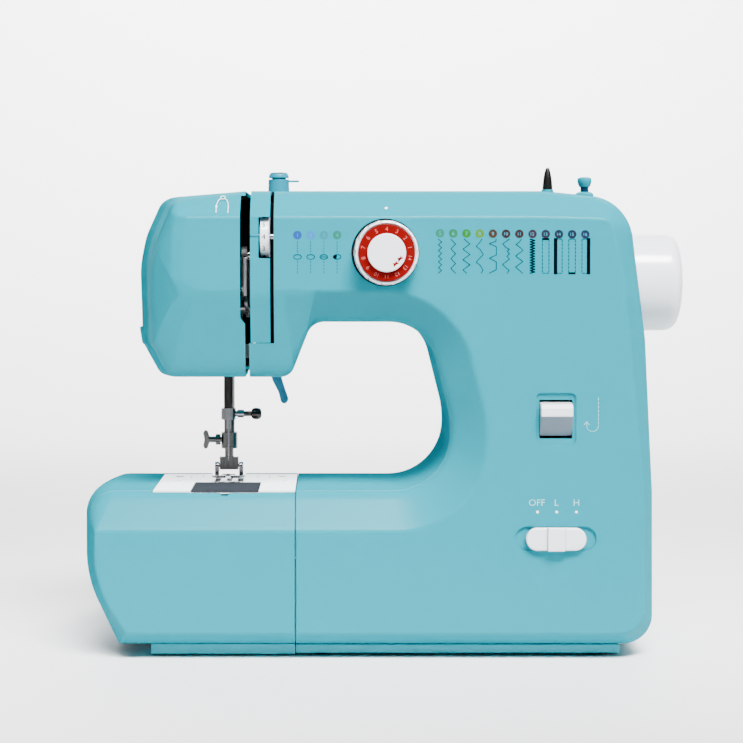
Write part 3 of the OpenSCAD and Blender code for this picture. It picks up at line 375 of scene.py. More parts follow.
def finish(name, colour, rough, metal=0, vary=0.03, grain=900, bump=0.02, coat=0, roughVary=0.05,
           streak=(1, 1, 1), specular=0.5, wear=None, facingGloss=None):
    mat = bpy.data.materials.new(name)
    mat.use_nodes = True
    tree = mat.node_tree
    where = addNode(tree, "ShaderNodeTexCoord").outputs["Object"]
    where = addNode(tree, "ShaderNodeMapping", {"Scale": streak, "Vector": where}).outputs[0]
    broad = addNode(tree, "ShaderNodeTexNoise", {"Scale": 18, "Detail": 3, "Vector": where}).outputs["Fac"]
    fine = addNode(tree, "ShaderNodeTexNoise", {"Scale": grain, "Detail": 4, "Vector": where}).outputs["Fac"]
    low, high = [[max(0, min(1, c * k)) for c in colour] + [1] for k in (1 - vary, 1 + vary)]
    tone = addNode(tree, "ShaderNodeMix", {"Factor": broad, "A": low, "B": high}, data_type="RGBA").outputs["Result"]
    if wear is not None:
        mask = addNode(tree, "ShaderNodeMapRange", {"From Min": 0.55, "From Max": 0.8, "Value": fine}).outputs[0]
        worn = {"Factor": mask, "A": tone, "B": list(wear) + [1]}
        tone = addNode(tree, "ShaderNodeMix", worn, data_type="RGBA").outputs["Result"]
    gloss = {"To Min": max(0.02, rough - roughVary), "To Max": min(1, rough + roughVary), "Value": fine}
    inputs = {"Metallic": metal, "Specular IOR Level": specular, "Coat Weight": coat, "Coat Roughness": 0.04,
              "Base Color": tone, "Roughness": addNode(tree, "ShaderNodeMapRange", gloss).outputs[0]}
    if facingGloss is not None:
        # gloss that fades towards the rim, as on a moulded satin surface
        rim = addNode(tree, "ShaderNodeLayerWeight", {"Blend": 0.5}).outputs["Facing"]
        inputs["Specular IOR Level"] = addNode(tree, "ShaderNodeMapRange", {
            "From Min": 0.35, "From Max": 0.75, "To Min": facingGloss, "To Max": 0, "Value": rim}).outputs[0]
    if bump > 0:
        relief = {"Strength": bump, "Distance": 0.0002, "Height": fine}
        inputs["Normal"] = addNode(tree, "ShaderNodeBump", relief).outputs[0]
    feed(tree, tree.nodes["Principled BSDF"], inputs)
    return mat


def ink(name, colour, rough, vary, specular=0.5):
    return finish(name, colour, rough, vary=vary, grain=800, bump=0, specular=specular)


teal = finish("tealGlossPlastic", (0.0006, 0.222, 0.286), 0.26, vary=0.012, grain=420, bump=0.012, facingGloss=0.06,
              roughVary=0.03)
# the base's own teal, painted lighter than the body as a lift of light against the shadow under the overhang
tealBasePaintedLift = finish("tealBasePlastic", (0.001, 0.34, 0.42), 0.42, grain=1200, bump=0.06, specular=0.2)
leverBlue = finish("tealLeverPlastic", (0.012, 0.17, 0.29), 0.3, bump=0.03, specular=0.2)
postTeal = finish("postTealPlastic", (0.0008, 0.2, 0.28), 0.26, vary=0.012, grain=420, bump=0.012, specular=0.22)
# painted shade: a dark ring for the shadowed neck of the winder stopper
navyPlastic = finish("navyPlastic", (0.0008, 0.02, 0.05), 0.4, bump=0.03, specular=0.2)
# painted shade for the reverse lever's downward faces
leverPaintedShade = finish("leverUnderside", (0.12, 0.165, 0.21), 0.3, vary=0.02, specular=0.3)
# painted shade for the sides of the speed knob's ridge
ridgePaintedShade = finish("ridgeSides", (0.36, 0.38, 0.46), 0.3, vary=0.02, specular=0.3)
whitePlastic = finish("whiteGlossPlastic", (0.86, 0.88, 0.93), 0.22, vary=0.01, grain=500, bump=0.01, coat=0.3,
                      roughVary=0.03)
greyPlastic = finish("paleGreyPlastic", (0.34, 0.39, 0.57), 0.35, vary=0.02, bump=0.03)
plateWhite = finish("platePaint", (0.83, 0.9, 0.93), 0.3, vary=0.012, grain=1500, bump=0.05)
smoke = finish("smokedCover", (0.028, 0.032, 0.039), 0.22, vary=0.05, grain=300, bump=0.004, facingGloss=0.2,
               roughVary=0.04)
redPrint = finish("redRing", (0.14, 0.0003, 0.0003), 0.36, vary=0.02, specular=0.12)
rubber = finish("blackRubber", (0.004, 0.004, 0.0042), 0.75, vary=0.12, grain=1600, bump=0.3, roughVary=0.08)
beltRubber = finish("beltRubber", (0.003, 0.003, 0.0034), 0.68, vary=0.1, grain=1200, bump=0.2, streak=(1, 1, 3))
blackPlastic = finish("blackMouldedPlastic", (0.0035, 0.0037, 0.0045), 0.45, vary=0.08, grain=1100, bump=0.1)
# cast alloy darkened as painted shade, for the frame seen in shadow through the slots; the worn patches are random tone
castAlloy = finish("castAlloy", (0.2, 0.205, 0.215), 0.5, metal=1, vary=0.08, grain=700, bump=0.25,
                   roughVary=0.1, wear=(0.14, 0.145, 0.155))
brassFinish = finish("sinteredBrass", (0.6, 0.36, 0.1), 0.38, metal=1, vary=0.1, grain=1300, bump=0.15)
brightSteel = finish("platedSteel", (0.3, 0.31, 0.33), 0.17, metal=1, vary=0.04)
darkSteel = finish("blackenedSteel", (0.045, 0.043, 0.042), 0.24, metal=1, vary=0.12, bump=0.05,
                   streak=(1, 1, 0.15), roughVary=0.08, wear=(0.1, 0.1, 0.1))
greySteel = finish("greySteel", (0.15, 0.15, 0.15), 0.24, metal=1, vary=0.12, bump=0.05,
                   streak=(1, 1, 0.15), roughVary=0.08, wear=(0.1, 0.1, 0.1))
spindleSteel = finish("spindleSteel", (0.045, 0.043, 0.04), 0.26, metal=0.9, vary=0.1, bump=0.05)
boardGreen = finish("boardMask", (0.0008, 0.035, 0.008), 0.4, vary=0.15, grain=500, bump=0.05)
# painted shade: a near-black finish for inner faces, cut walls and liners, standing in for the shadow inside the shells
insidePaintedShade = finish("shadowedInside", (0.0008, 0.0015, 0.0018), 0.8, vary=0.2, grain=600, bump=0.05, specular=0.1)
inkDark = ink("darkInk", (0.0008, 0.022, 0.028), 0.5, 0.04, 0.05)
inkTeal = ink("bareInk", (0.02, 0.3, 0.38), 0.5, 0.02, 0.1)
inkBlack = ink("blackInk", (0.0005, 0.001, 0.002), 0.6, 0.04, 0.02)
inkWhite = ink("whiteInk", (0.94, 0.95, 0.95), 0.5, 0.01)
inkPale = ink("faintInk", (0.22, 0.55, 0.6), 0.5, 0.01, 0.1)
inkSoft = ink("paleInk", (0.5, 0.09, 0.085), 0.5, 0.02)
lampLens = finish("lampLens", (0.9, 0.92, 0.86), 0.12, vary=0.01, coat=0.5)
print("finishes ready")

slotFinish = dict(
    teal_plastic=teal, dark_teal_plastic=tealBasePaintedLift, lever_blue=leverBlue, white_plastic=whitePlastic,
    plate_white=plateWhite, smoke_plastic=smoke, red_plastic=redPrint, rubber=rubber,
    belt_rubber=beltRubber, black_plastic=blackPlastic, cast_alloy=castAlloy, brass=brassFinish,
    bright_steel=brightSteel, dark_steel=darkSteel, board=boardGreen)
nodeSlot = {s["node"]: s["material_slot"] for s in frame["record"]["subparts"]}
for node, obj in frame["nodes"].items():
    obj.data.materials.clear()
    obj.data.materials.append(slotFinish[nodeSlot[node]])


# outlines of the shells

shell = {
    "top": 258, "halfDepth": 60, "slopeDepth": 14, "wall": 2.2, "right": 148.4, "sideLean": 14,
    "armUnder": 185.5, "headUnder": 155, "topBorder": 14.7, "underBorder": 17, "headLeft": -139,
    "throatWall": 36, "bed": 91.9, "bedBorder": 20.6, "shellUnder": 6.8, "seam": -49.8, "gap": 0.3,
    "needleX": -89, "steps": 14, "creaseRound": 1.5, "creaseReach": 1.25, "shoulderBlend": 0.24, "topBlend": 0.6}
needleX = shell["needleX"]
slotLeft = needleX + 9.3
stripLeft = slotLeft + 5.5
stripRight = stripLeft + 11.4
slotRight = stripRight + 1.5
headSeam = slotLeft + 2.5
coverSeam = headSeam + 2.1
headRight = slotRight + 9
slotFoot = shell["armUnder"] - 0.7
slotTop = shell["top"] - 2.8
stripFoot = shell["armUnder"] - 11.2
topFront = shell["top"] - shell["topBorder"]
creaseZ = shell["armUnder"] + shell["underBorder"]
bedCrease = shell["bed"] - shell["bedBorder"]
footFront = shell["shellUnder"] + 8
shoulderY = shell["halfDepth"] - shell["slopeDepth"]
# cutters reach 1 mm past the front, the top and the head's underside
ahead, over, underHead = -shell["halfDepth"] - 1, shell["top"] + 1, shell["headUnder"] - 1


def mix(a, b, k):
    return a + (b - a) * k


def unit(v):
    n = hypot(v[0], v[1])
    return (v[0] / n, v[1] / n)


def cornerArc(p, c, q, r, steps):
    a, b = unit((p[0] - c[0], p[1] - c[1])), unit((q[0] - c[0], q[1] - c[1]))
    half = acos(max(-1, min(1, a[0] * b[0] + a[1] * b[1]))) / 2
    t = max(r / tan(max(half, radians(1))), 0.2)
    w = sin(half)
    out = []
    for i in range(steps + 1):
        s = i / steps
        u, m = 1 - s, 2 * s * (1 - s) * w
        d = u * u + m + s * s
        out.append([(u * u * (c[j] + a[j] * t) + m * c[j] + s * s * (c[j] + b[j] * t)) / d for j in (0, 1)])
    return out


def roundedPath(path, steps=None):
    steps = steps or shell["steps"]
    n = len(path)
    out = []
    for i in range(n):
        out += cornerArc(path[i - 1], path[i], path[(i + 1) % n], path[i][2], steps)
    return np.array(out)


def insetPath(path, w):
    n = len(path)
    out = []
    for i in range(n):
        p, c, q = path[i - 1], path[i], path[(i + 1) % n]
        d, e = unit((c[0] - p[0], c[1] - p[1])), unit((q[0] - c[0], q[1] - c[1]))
        m, o = (d[1], -d[0]), (e[1], -e[0])
        k = w / (1 + m[0] * o[0] + m[1] * o[1])
        side = -1 if (d[0] * e[1] - d[1] * e[0]) < 0 else 1
        out.append([c[0] + (m[0] + o[0]) * k, c[1] + (m[1] + o[1]) * k, max(c[2] + side * w, 0.3)])
    return out


def slopeAt(y, blend="shoulderBlend"):
    # 0 on the flat front to 1 behind the sloped border, with a soft shoulder
    s = (shell["halfDepth"] - abs(y)) / shell["slopeDepth"]
    w = shell[blend]
    h = max(0, min(1, 0.5 + 0.5 * (s - 1) / w))
    return max(0, mix(s, 1, h) - w * h * (1 - h) * 0.9)


def bodyPath(k, kTop=None):
    left = coverSeam
    s = shell
    top, low = mix(topFront, s["top"], k if kTop is None else kTop), mix(footFront, s["shellUnder"], k)
    bed, under = mix(bedCrease, s["bed"], k), mix(creaseZ, s["armUnder"], k)
    head, right = mix(creaseZ, s["headUnder"], k), mix(s["right"] - 6.6, s["right"], k)
    t = s["throatWall"]
    return [[left, top, 0.5],
            [88, top, 60],
            [right - mix(s["sideLean"] + 5, s["sideLean"], k), top - mix(0.9, 4.6, k), mix(8, 25, k)],
            [right - mix(11.3, 4.4, k), mix(creaseZ + 5, s["armUnder"] - 10, k), 40],
            [right - 0.4, s["bed"], 30],
            [right, low, mix(14, 16, k)],
            [s["seam"] + s["gap"], low, 0.5],
            [s["seam"] + s["gap"], bed, 0.5],
            [mix(t + 19.3, t, k), bed, mix(49, 32, k)],
            [mix(t + 19.4, t, k), s["bed"] + 40, 60],
            [t + mix(1.6, -13.5, k), under, mix(50, 26, k)],
            [headRight + mix(14, 11.8, k), under + mix(0.3, 0, k), mix(1, 10, k)],
            [headRight - mix(3.7, 0.2, k), head + mix(0.5, 0, k), mix(1, 8, k)],
            [left, head, 0.5]]


def headX(y):
    return shell["headLeft"] + 27.5 * (1 - sqrt(max(0, 1 - (y / shell["halfDepth"]) ** 2)))


def facePath(y, right=None):
    right = headSeam if right is None else right
    k = slopeAt(y)
    s = shell
    top, low, x = mix(topFront, s["top"], slopeAt(y, "topBlend")), mix(creaseZ, s["headUnder"], k), headX(y)
    rise = min(1, (s["halfDepth"] - abs(y)) / (s["slopeDepth"] * 0.57))
    fade = max(0, k - 0.57) / 0.43
    return [[x + mix(2, 13, k), top - 3.5 * k, mix(1, 10, k)],
            [right, top, 0.5],
            [right, low, 0.5],
            [x + mix(12, 11.2, k), low, mix(0.5, 5, k)],
            [x + mix(5.5, 1.3, k), mix(creaseZ + 1.4, s["headUnder"] + 18, k), mix(0.5, 7, k)],
            [x, creaseZ + mix(mix(5, 22, rise), 14.2, fade), mix(1, 60, fade)],
            [x + 3.45 * k, top - mix(11, 24.6, k), mix(1, 40, k)]]


table = {"left": -169.5, "endRound": 15, "endLean": 17, "endBulge": 42, "bulgeRound": 60}


def tableEnd(y, k):
    return mix(table["left"] + 10, table["left"] + 5.2, k) - 5.2 * max(0, 1 - (y / shoulderY) ** 2)


def tablePath(y, right=None):
    right = shell["seam"] if right is None else right
    k = slopeAt(y)
    bed, low, x = mix(bedCrease, shell["bed"], k), mix(footFront, shell["shellUnder"], k), tableEnd(y, k)
    return [[x, bed, mix(1, table["endRound"], k)], [right, bed, 0.5], [right, low, 0.5],
            [x + table["endLean"], low, 2], [x, table["endBulge"], table["bulgeRound"]]]


def creaseLoops(pathAt):
    # the edge between the flat front and its sloped border, rounded
    y0 = -shell["halfDepth"]
    y1 = y0 + shell["creaseReach"]
    a = roundedPath(insetPath(pathAt(y0), shell["creaseRound"]))
    b, c = roundedPath(pathAt(y0)), roundedPath(pathAt(y1))
    return [(a * (1 - t) ** 2 + b * 2 * t * (1 - t) + c * t * t, mix(y0, y1, t * t))
            for t in (0, 0.2, 0.4, 0.6, 0.8, 1)]


def closedLoops(pathAt, rows):
    # the same rounded edge on the front and on the rear of a closed shell
    edge = creaseLoops(pathAt)
    return atY(edge + [(roundedPath(pathAt(y)), y) for y in rows] + [(loop, -y) for loop, y in reversed(edge)])


def atY(loops):
    return [[(p[0], y, p[1]) for p in loop] for loop, y in loops]


def loftPiece(name, loops, material):
    n, m = len(loops[0]), len(loops)
    points = [p for loop in loops for p in loop]
    faces = [list(range(n - 1, -1, -1)), list(range((m - 1) * n, m * n))]
    for j in range(m - 1):
        for i in range(n):
            k = (i + 1) % n
            faces.append([j * n + i, j * n + k, (j + 1) * n + k, (j + 1) * n + i])
    return newPiece(name, points, faces, material)


slopeRows = [-58, -56, -54, -52, -50.5, -49, -48, -47, -46, -45, -44, -43, -42, -40.5, -38]


def halfShell(name, sign, material):
    # sign -1 is the front half, 1 the rear half
    pathAt = lambda y: bodyPath(slopeAt(y), slopeAt(y, "topBlend"))
    half = shell["halfDepth"]
    outer = creaseLoops(pathAt) + [(roundedPath(pathAt(y)), y) for y in slopeRows]
    outer += [(roundedPath(pathAt(y)), y) for y in (-25, -12, -0.55)]
    outer.append((roundedPath(insetPath(bodyPath(1), 0.3)), -0.15))
    wall = shell["wall"]
    inner = [(roundedPath(insetPath(bodyPath(1), wall)), y) for y in (-0.15, -25, -39.8)]
    inner += [(roundedPath(insetPath(pathAt(y), wall)), y * (half - wall) / half) for y in (-46, -52, -60)]
    loops = atY(outer + inner)
    if sign > 0:
        loops = [[(p[0], -p[1], p[2]) for p in loop] for loop in loops]
    piece = loftPiece(name, loops, material)
    # the inner faces get painted shade, so the inside looks as if it lay in shadow
    piece.data.materials.append(insidePaintedShade)
    ringSize = len(loops[0])
    for i, polygon in enumerate(piece.data.polygons):
        if i == 1 or i >= 2 + ringSize * len(outer):
            polygon.material_index = 1
    return piece


# body shells

def sharedCuts(clampLow, clampHigh):
    # room for the hand wheel and the clamp, and the openings towards the head and the table
    return [
        prism("cutWheel", ring(0, 207.2, 29.2, 128), "x", 128, 154),
        block("cutClamp", (coverSeam - 1, clampLow, underHead), (-68.5, clampHigh, 158.2)),
        block("cutHeadSide", (coverSeam - 1, -44, 157.6), (coverSeam + 3.2, 44, 253)),
        block("cutBedSide", (shell["seam"] - 1, -39, 11.3), (shell["seam"] + 3.2, 30, 87.9))]


front = halfShell("frontShell", -1, teal)
control = {"x": 93, "leverWidth": 17.4, "leverLow": 123.2, "leverHigh": 142.6, "sliderZ": 67.3, "sliderLength": 33,
           "sliderHeight": 12.6}
dial = {"x": 0, "z": 223.8, "radius": 17.7, "out": 13, "back": -61, "grips": 14}
cx = control["x"]
frameOuter = rounded2(cx, 133, 22, 28.6, 3)
frameInner = rounded2(cx, 132.9, 18.6, 22, 1.2)
frontCuts = [
    # the strip slot's cut walls take painted shade from this cutter
    block("cutStrip", (coverSeam - 1, ahead, stripFoot - 0.3), (slotRight, -20, over), insidePaintedShade),
    prism("cutHub", ring(dial["x"], dial["z"], 6.05, 40), "y", ahead, -56),
    block("cutWindow", (cx - 9, ahead, control["leverLow"] - 1), (cx + 9, -56, control["leverHigh"] + 0.8)),
    loftPiece("cutFrame", atY([(frameOuter, ahead), (frameOuter, -59.1), (frameInner, -58.5)]), teal),
    prism("cutSlider", rounded2(cx, control["sliderZ"], 44.6, 13.4, 6.6, 12), "y", ahead, -58.8),
    block("cutSlot", (cx - 11.7, -60, control["sliderZ"] - 2.3), (cx + 11.7, -56, control["sliderZ"] + 2.3)),
]
cutOut(front, frontCuts + sharedCuts(-5, 1))
place(front, "machine", "front_cover", slot="teal_plastic", soft=32)
print("front shell ready")

fitting = {"y": 8, "winderX": 95.2, "stopperX": 116.6, "spoolX": 30, "spoolY": 30, "postX": -60.2}
rear = halfShell("rearShell", 1, teal)
rearCuts = [
    block("cutLifter", (-86.9, 12.8, underHead), (headRight + 16, 18, 170)),
    block("cutWinder", (fitting["winderX"] - 4, 4, 254), (fitting["winderX"] + 8, 12, over)),
]
for x, y, r, low, count in (
        (fitting["stopperX"], fitting["y"], 2.7, 250, 32), (fitting["stopperX"], fitting["y"], 5.5, 256.1, 48),
        (fitting["spoolX"], fitting["spoolY"], 2.8, 254, 32), (fitting["postX"], fitting["y"], 2.3, 254, 32)):
    rearCuts.append(prism("cutTop", ring(x, y, r, count), "z", low, over))
rearCuts += [prism("cutJack", ring(x, 38, 5.7, 40), "y", 56, 61) for x in (118, 98)]
cutOut(rear, rearCuts + sharedCuts(-1, 5))
place(rear, "machine", "rear_cover", slot="teal_plastic", soft=32)
print("rear shell ready")

# head cover
headRows = slopeRows[:13] + [-40, -36, -30, -22, -12, 0]
headRows += [-y for y in reversed(headRows[:-1])]
headCover = loftPiece("headCover", closedLoops(facePath, headRows), teal)
innerRows = [-57.8, -52, -46, -40, -28, -14, 0, 14, 28, 40, 46, 52, 57.8]
hollow = [(roundedPath(insetPath(facePath(y, headSeam + 4.4), shell["wall"]), 8), y) for y in innerRows]
# the hollow's faces carry painted shade into the inside of the head cover
hollow = loftPiece("headHollow", atY(hollow), insidePaintedShade)
takeUpSlot = [(slotLeft, slotTop), (slotLeft, slotFoot + 3.4), (headSeam, slotFoot), (headSeam + 5, slotFoot),
              (headSeam + 5, slotTop)]
headCuts = [
    hollow,
    # the take-up slot's cut walls take painted shade
    prism("cutTakeUp", takeUpSlot, "y", ahead, -36, insidePaintedShade),
    block("cutBars", (-97, -8, underHead), (headSeam + 1, 18, 158.2)),
]
cutOut(headCover, headCuts)
smooth(headCover)
cutterX = -140.4
blade = prism("cutterLug", [(cutterX, 181), (cutterX + 1.6, 171.5), (cutterX + 7.5, 169), (cutterX + 7.5, 183)],
              "y", 2, 10, teal)
cutOut(blade, [block("cutNick", (cutterX - 1, 5.4, 176), (cutterX + 3, 6.4, 184))])
bevel(blade, 0.5, 2)
smooth(blade)
place(join("headCover", [headCover, blade]), "machine", "face_cover", slot="teal_plastic", soft=32)
print("head cover ready")

# strip between the thread slots, with the window of the tension wheel
tension = {"radius": 11, "z": 232.6, "y": -50.6, "left": stripRight - 6, "width": 5.2}


def lowHead(y):
    return mix(creaseZ, shell["headUnder"], slopeAt(y))


stripRows = [-60, -59.9, -59.5, -58.9] + slopeRows + [-30, -20.3]
upper = [(y, mix(topFront, shell["top"], slopeAt(y, "topBlend"))) for y in stripRows]
footY = next(y for y in np.linspace(-60, -40, 400) if lowHead(y) <= stripFoot)
lower = [(y, lowHead(y)) for y in np.linspace(-60, footY, 8)]
inside = [(footY + 2.2, stripFoot), (-58, creaseZ + 0.4), (-58, topFront - 1.2), (-44.8, 256), (-20.3, 256)]
strip = prism("threadStripCover", upper + inside[::-1] + lower[::-1], "x", stripLeft, stripRight - 0.5, teal)
cutOut(strip, [
    block("cutTension", (stripLeft + 4.6, ahead, tension["z"] - 11.8), (stripRight + 1, -40, topFront)),
    block("cutIndex", (stripLeft - 1, ahead, tension["z"] - 0.4), (stripLeft + 4.6, -59.6, tension["z"] + 0.2)),
])
bevel(strip, 0.45, 2, 50)
place(strip, "machine", "thread_strip", slot="teal_plastic", soft=32)

# a liner behind the slots, painted with shade, so the inside reads as shadowed
place(block("slotLiner", (coverSeam + 2.6, -38, 190), (slotRight + 1.4, -37, 252), insidePaintedShade), "machine")
print("head ready")

# extension table
tableRows = [y for y in headRows if abs(y) <= 58]
tableShell = loftPiece("extensionTable", closedLoops(tablePath, tableRows), teal)
hollow = [(roundedPath(insetPath(tablePath(y, shell["seam"] + 4.4), shell["wall"]), 8), y * 57.8 / 60)
          for y in (-60, -52, -46, -40, -28, -14, 0, 14, 28, 40, 46, 52, 60)]
tableHollow = loftPiece("tableHollow", atY(hollow), None)
plate = {"left": -128.8, "front": -45.3, "back": 38.3, "top": shell["bed"], "under": 90.2}
overPlate = 93
cutOut(tableShell, [
    tableHollow,
    block("cutPlate", (plate["left"] - 0.3, plate["front"] - 0.3, 85.9),
          (shell["seam"] + 1, plate["back"] + 0.3, overPlate)),
    block("cutWayOut", (-108.3, ahead, 90.7), (-69.7, plate["front"], overPlate)),
    prism("cutNotch", ring(needleX, plate["front"] - 0.6, 2.4, 32), "z", 89.3, overPlate),
])
tableFoot = block("tableFoot", (-130, -46, 1), (shell["seam"], 46, 7), tealBasePaintedLift)
bevel(tableFoot, 0.8, 2)
place(tableShell, "table", "extension_table", slot="teal_plastic", soft=32)
place(tableFoot, "table", slot="dark_teal_plastic", soft=32)
print("extension table ready")


# bed

needlePlate = block("needlePlate", (plate["left"], plate["front"], plate["under"]),
                    (shell["seam"] - 0.2, plate["back"], plate["top"]), plateWhite)
lid = {"left": -108, "right": -70, "front": -44.9, "back": -3.2, "thick": 0.9, "ledge": 1.6}
screwXs = (needleX - 30, needleX + 30)
plateCuts = [
    block("cutGroove", (lid["left"], plate["front"] - 1, 90.7), (lid["right"], lid["back"], overPlate)),
    block("cutUnder", (lid["left"] + lid["ledge"], lid["front"] + lid["ledge"], 89),
          (lid["right"] - lid["ledge"], lid["back"] - lid["ledge"], plate["top"])),
    block("cutNeedle", (-92.6, -1.3, 89), (-85.4, 1.3, overPlate)),
]
plateCuts += [block("cutDog", (x, y, 89), (x + 3.2, 16.5, overPlate))
              for x, y in ((-90.6, 2.4), (-97.2, -1.2), (-84, -1.2))]
plateCuts += [prism("cutPlateScrew", ring(x, 26, 2.6, 32), "z", 91, overPlate) for x in screwXs]
cutOut(needlePlate, plateCuts)
bevel(needlePlate, 0.25, 2, 50)
place(needlePlate, "machine", "needle_plate", slot="plate_white", soft=32)

lidPiece = block("bobbinLid", (lid["left"] + 0.3, lid["front"], plate["top"] - lid["thick"]),
                 (lid["right"] - 0.3, lid["back"] - 0.3, plate["top"]), smoke)
cutOut(lidPiece, [prism("cutGrip", rounded2(needleX, lid["front"] + 3, 8, 2, 0.9), "z", 91.5, overPlate)])
bevel(lidPiece, 0.25, 2, 50)
place(lidPiece, "bobbin_lid", "bobbin_cover", slot="smoke_plastic", soft=32)

for i, x in enumerate(screwXs):
    head = lathe("plateScrew%d" % (i + 1), [(0, 2.3, 0), (0.7, 2.3, 0.42), (0.7, 0, 0)], (x, 26, 91), "z",
                 brightSteel, 32, 4)
    cutOut(head, [block("cutDriver", (x - 3, 25.6, 91.4), (x + 3, 26.4, overPlate))])
    place(head, "machine", slot="bright_steel", soft=32)

low, high = plate["top"] - 0.02, plate["top"] + 0.04
guide = [block("guide", (x0, 4.6, low), (x1, 5.1, high), inkBlack) for x0, x1 in ((-120, -116.6), (-58, -55.2))]
guide += [block("guide", (x0 - 0.16, 20, low), (x0 + 0.16, 30, high), inkBlack) for x0 in (-112, -105, -73, -66)]
place(join("guideMarks", guide), "machine")

basePiece = block("basePlinth", (-49.5, -46, 1.6), (130, 46, 6.8), tealBasePaintedLift)
bevel(basePiece, 0.9, 3)
place(basePiece, "machine", "base_plate", slot="dark_teal_plastic", soft=32)
print("bed ready")


# hand wheel

wheel = {"radius": 28.5, "left": 136.4, "right": 170, "z": 207.2, "dome": 3}
left, right, r = wheel["left"], wheel["right"], wheel["radius"]
wheelPiece = lathe("handWheelCap", [(left + 4, 0, 0), (left + 4, r - 3, 0), (left, r - 3, 0.3), (left, r, 0.6),
    (right - wheel["dome"] - 2, r - 0.5, 4.5), (right - 1.2, r - 7, 4), (right, 12, 4), (right, 0, 0)],
    (0, 0, wheel["z"]), "x", whitePlastic, 128, 8)
place(wheelPiece, "upper_drive", "handwheel", slot="white_plastic", soft=30)
dip = [(right - 0.1, 8.5, 0), (right, 8, 0.1), (right - 0.05, 0, 0)]
place(lathe("wheelInset", dip, (0, 0, wheel["z"]), "x", greyPlastic, 64, 3), "upper_drive")


# stitch dial

faceY = dial["back"] - dial["out"]
gripY = faceY + 3.4


def rimLoop(y, r, depth):
    # scalloped rim: a shallow bite between every two grips
    count = 280
    out = []
    for i in range(count):
        a = 2 * pi * i / count
        wave = 0.5 + 0.5 * cos(dial["grips"] * (a - pi / 2))
        reach = r - max(0, 1 - wave * 3.2) * depth
        out.append((dial["x"] + reach * cos(a), y, dial["z"] + reach * sin(a)))
    return out


dialAt = (dial["x"], 0, dial["z"])
r = dial["radius"]
rims = [(gripY + 0.9, r * 0.885, 0), (gripY + 0.15, r * 0.9, 0), (gripY, r - 1.3, 0), (gripY + 0.3, r - 0.7, 0.8),
        (gripY + 1.1, r - 0.4, 1.3), (gripY + 7.8, r - 0.1, 1.4), (gripY + 8.4, r, 1.2), (dial["back"], r, 0)]
knobBody = loftPiece("stitchKnob", [rimLoop(*rim) for rim in rims], whitePlastic)
smooth(knobBody, 40)
centreDisc = [(dial["back"] - 1, 10.4, 0), (faceY + 0.9, 10.4, 0), (faceY, 10.4, 0.7), (faceY, 0, 0)]
centreDisc = lathe("dialCentre", centreDisc, dialAt, "y", whitePlastic, 96, 5)
smooth(centreDisc, 35)
hub = lathe("dialHub", [(dial["back"] - 1, 6), (-54, 6), (-54, 3), (26, 3)], dialAt, "y", whitePlastic, 48)
smooth(hub, 35)
knob = join("stitchKnob", [knobBody, centreDisc, hub])
place(knob, "stitch_selector", "stitch_dial", slot="white_plastic", soft=35)

# a thin dark ring around the dial, set a little to the lower left: a painted shadow where the dial meets the front
gap = dial["radius"] + 0.75
gap = [(-60.35, 8, 0), (-60.35, gap, 0.2), (-59.9, gap, 0), (-59.9, 8, 0)]
place(lathe("dialGap", gap, (dial["x"] - 0.45, 0, dial["z"] + 0.1), "y", insidePaintedShade, 96, 3), "machine")

ringFace = faceY + 2.6
ringPiece = lathe("numberRing", [(ringFace + 2, 10.5, 0), (ringFace, 10.5, 0), (ringFace, 15.3, 0.25),
    (ringFace + 2, 15.5, 0)], dialAt, "y", redPrint, 128, 4)
place(ringPiece, "stitch_selector", "dial_ring", slot="red_plastic", soft=35)
digits = []
for n in range(1, 15):
    a = radians(90 + (n - 4) * 360 / 14)  # the 4 stands at the top, and the numbers run anticlockwise
    r = 12.9
    digits.append(lettering("dialDigit%d" % n, str(n), 3.3 if n < 10 else 2.9,
                            (dial["x"] + r * cos(a), dial["z"] + r * sin(a)), -(a - pi / 2), inkSoft,
                            ringFace - 0.05))
place(join("dialDigits", digits), "stitch_selector")
arrowMarks = []
for dx, dz, turn in ((7, -3.2, 0.7), (4.6, -6, 0.7)):
    shape = [(-1.9, -1), (0.2, -0.7), (1.9, -1.1), (1.3, 0.1), (1.5, 1), (0.3, 0.5), (-0.9, 1.2), (-1, 0.2)]
    turned = [(dial["x"] + dx + p[0] * cos(turn) - p[1] * sin(turn),
               dial["z"] + dz + p[0] * sin(turn) + p[1] * cos(turn)) for p in shape]
    arrowMarks.append(prism("arrowMark", turned, "y", faceY - 0.06, faceY + 0.1, redPrint))
place(join("dialArrow", arrowMarks), "stitch_selector")
print("dial ready")


# thread tension wheel

left, right, r = tension["left"], tension["left"] + tension["width"], tension["radius"]
tensionPiece = lathe("tensionWheel", [(left, 2.1, 0), (left, r - 0.3, 0.5), (left + 0.6, r, 0.4), (right - 0.6, r, 0.4),
    (right, r - 0.3, 0.4), (right, 2.1, 0)], (0, tension["y"], tension["z"]), "x", whitePlastic, 96, 4)
gripRidges = spread("tensionRidges", ringTree, 60, r * mm, boxUnit(0.35, 0.16, 1.4), greyPlastic,
                    upright((left + 4.6, tension["y"], tension["z"])))
place(tensionPiece, "tension_wheel", "tension_dial", slot="white_plastic", soft=35)
place(gripRidges, "tension_wheel")
tensionDigits = []
for n in range(10):
    a = radians(-36 * (n - 4))
    digit = lettering("tensionDigit%d" % n, str(n), 4.2, (left + 2.1, tension["z"]), 0, inkBlack,
                      tension["y"] - r - 0.02)
    digit.data.transform(about(toWorld((0, tension["y"], tension["z"])), a, "X"))
    tensionDigits.append(digit)
place(join("tensionDigits", tensionDigits), "tension_wheel")


# reverse lever and speed switch

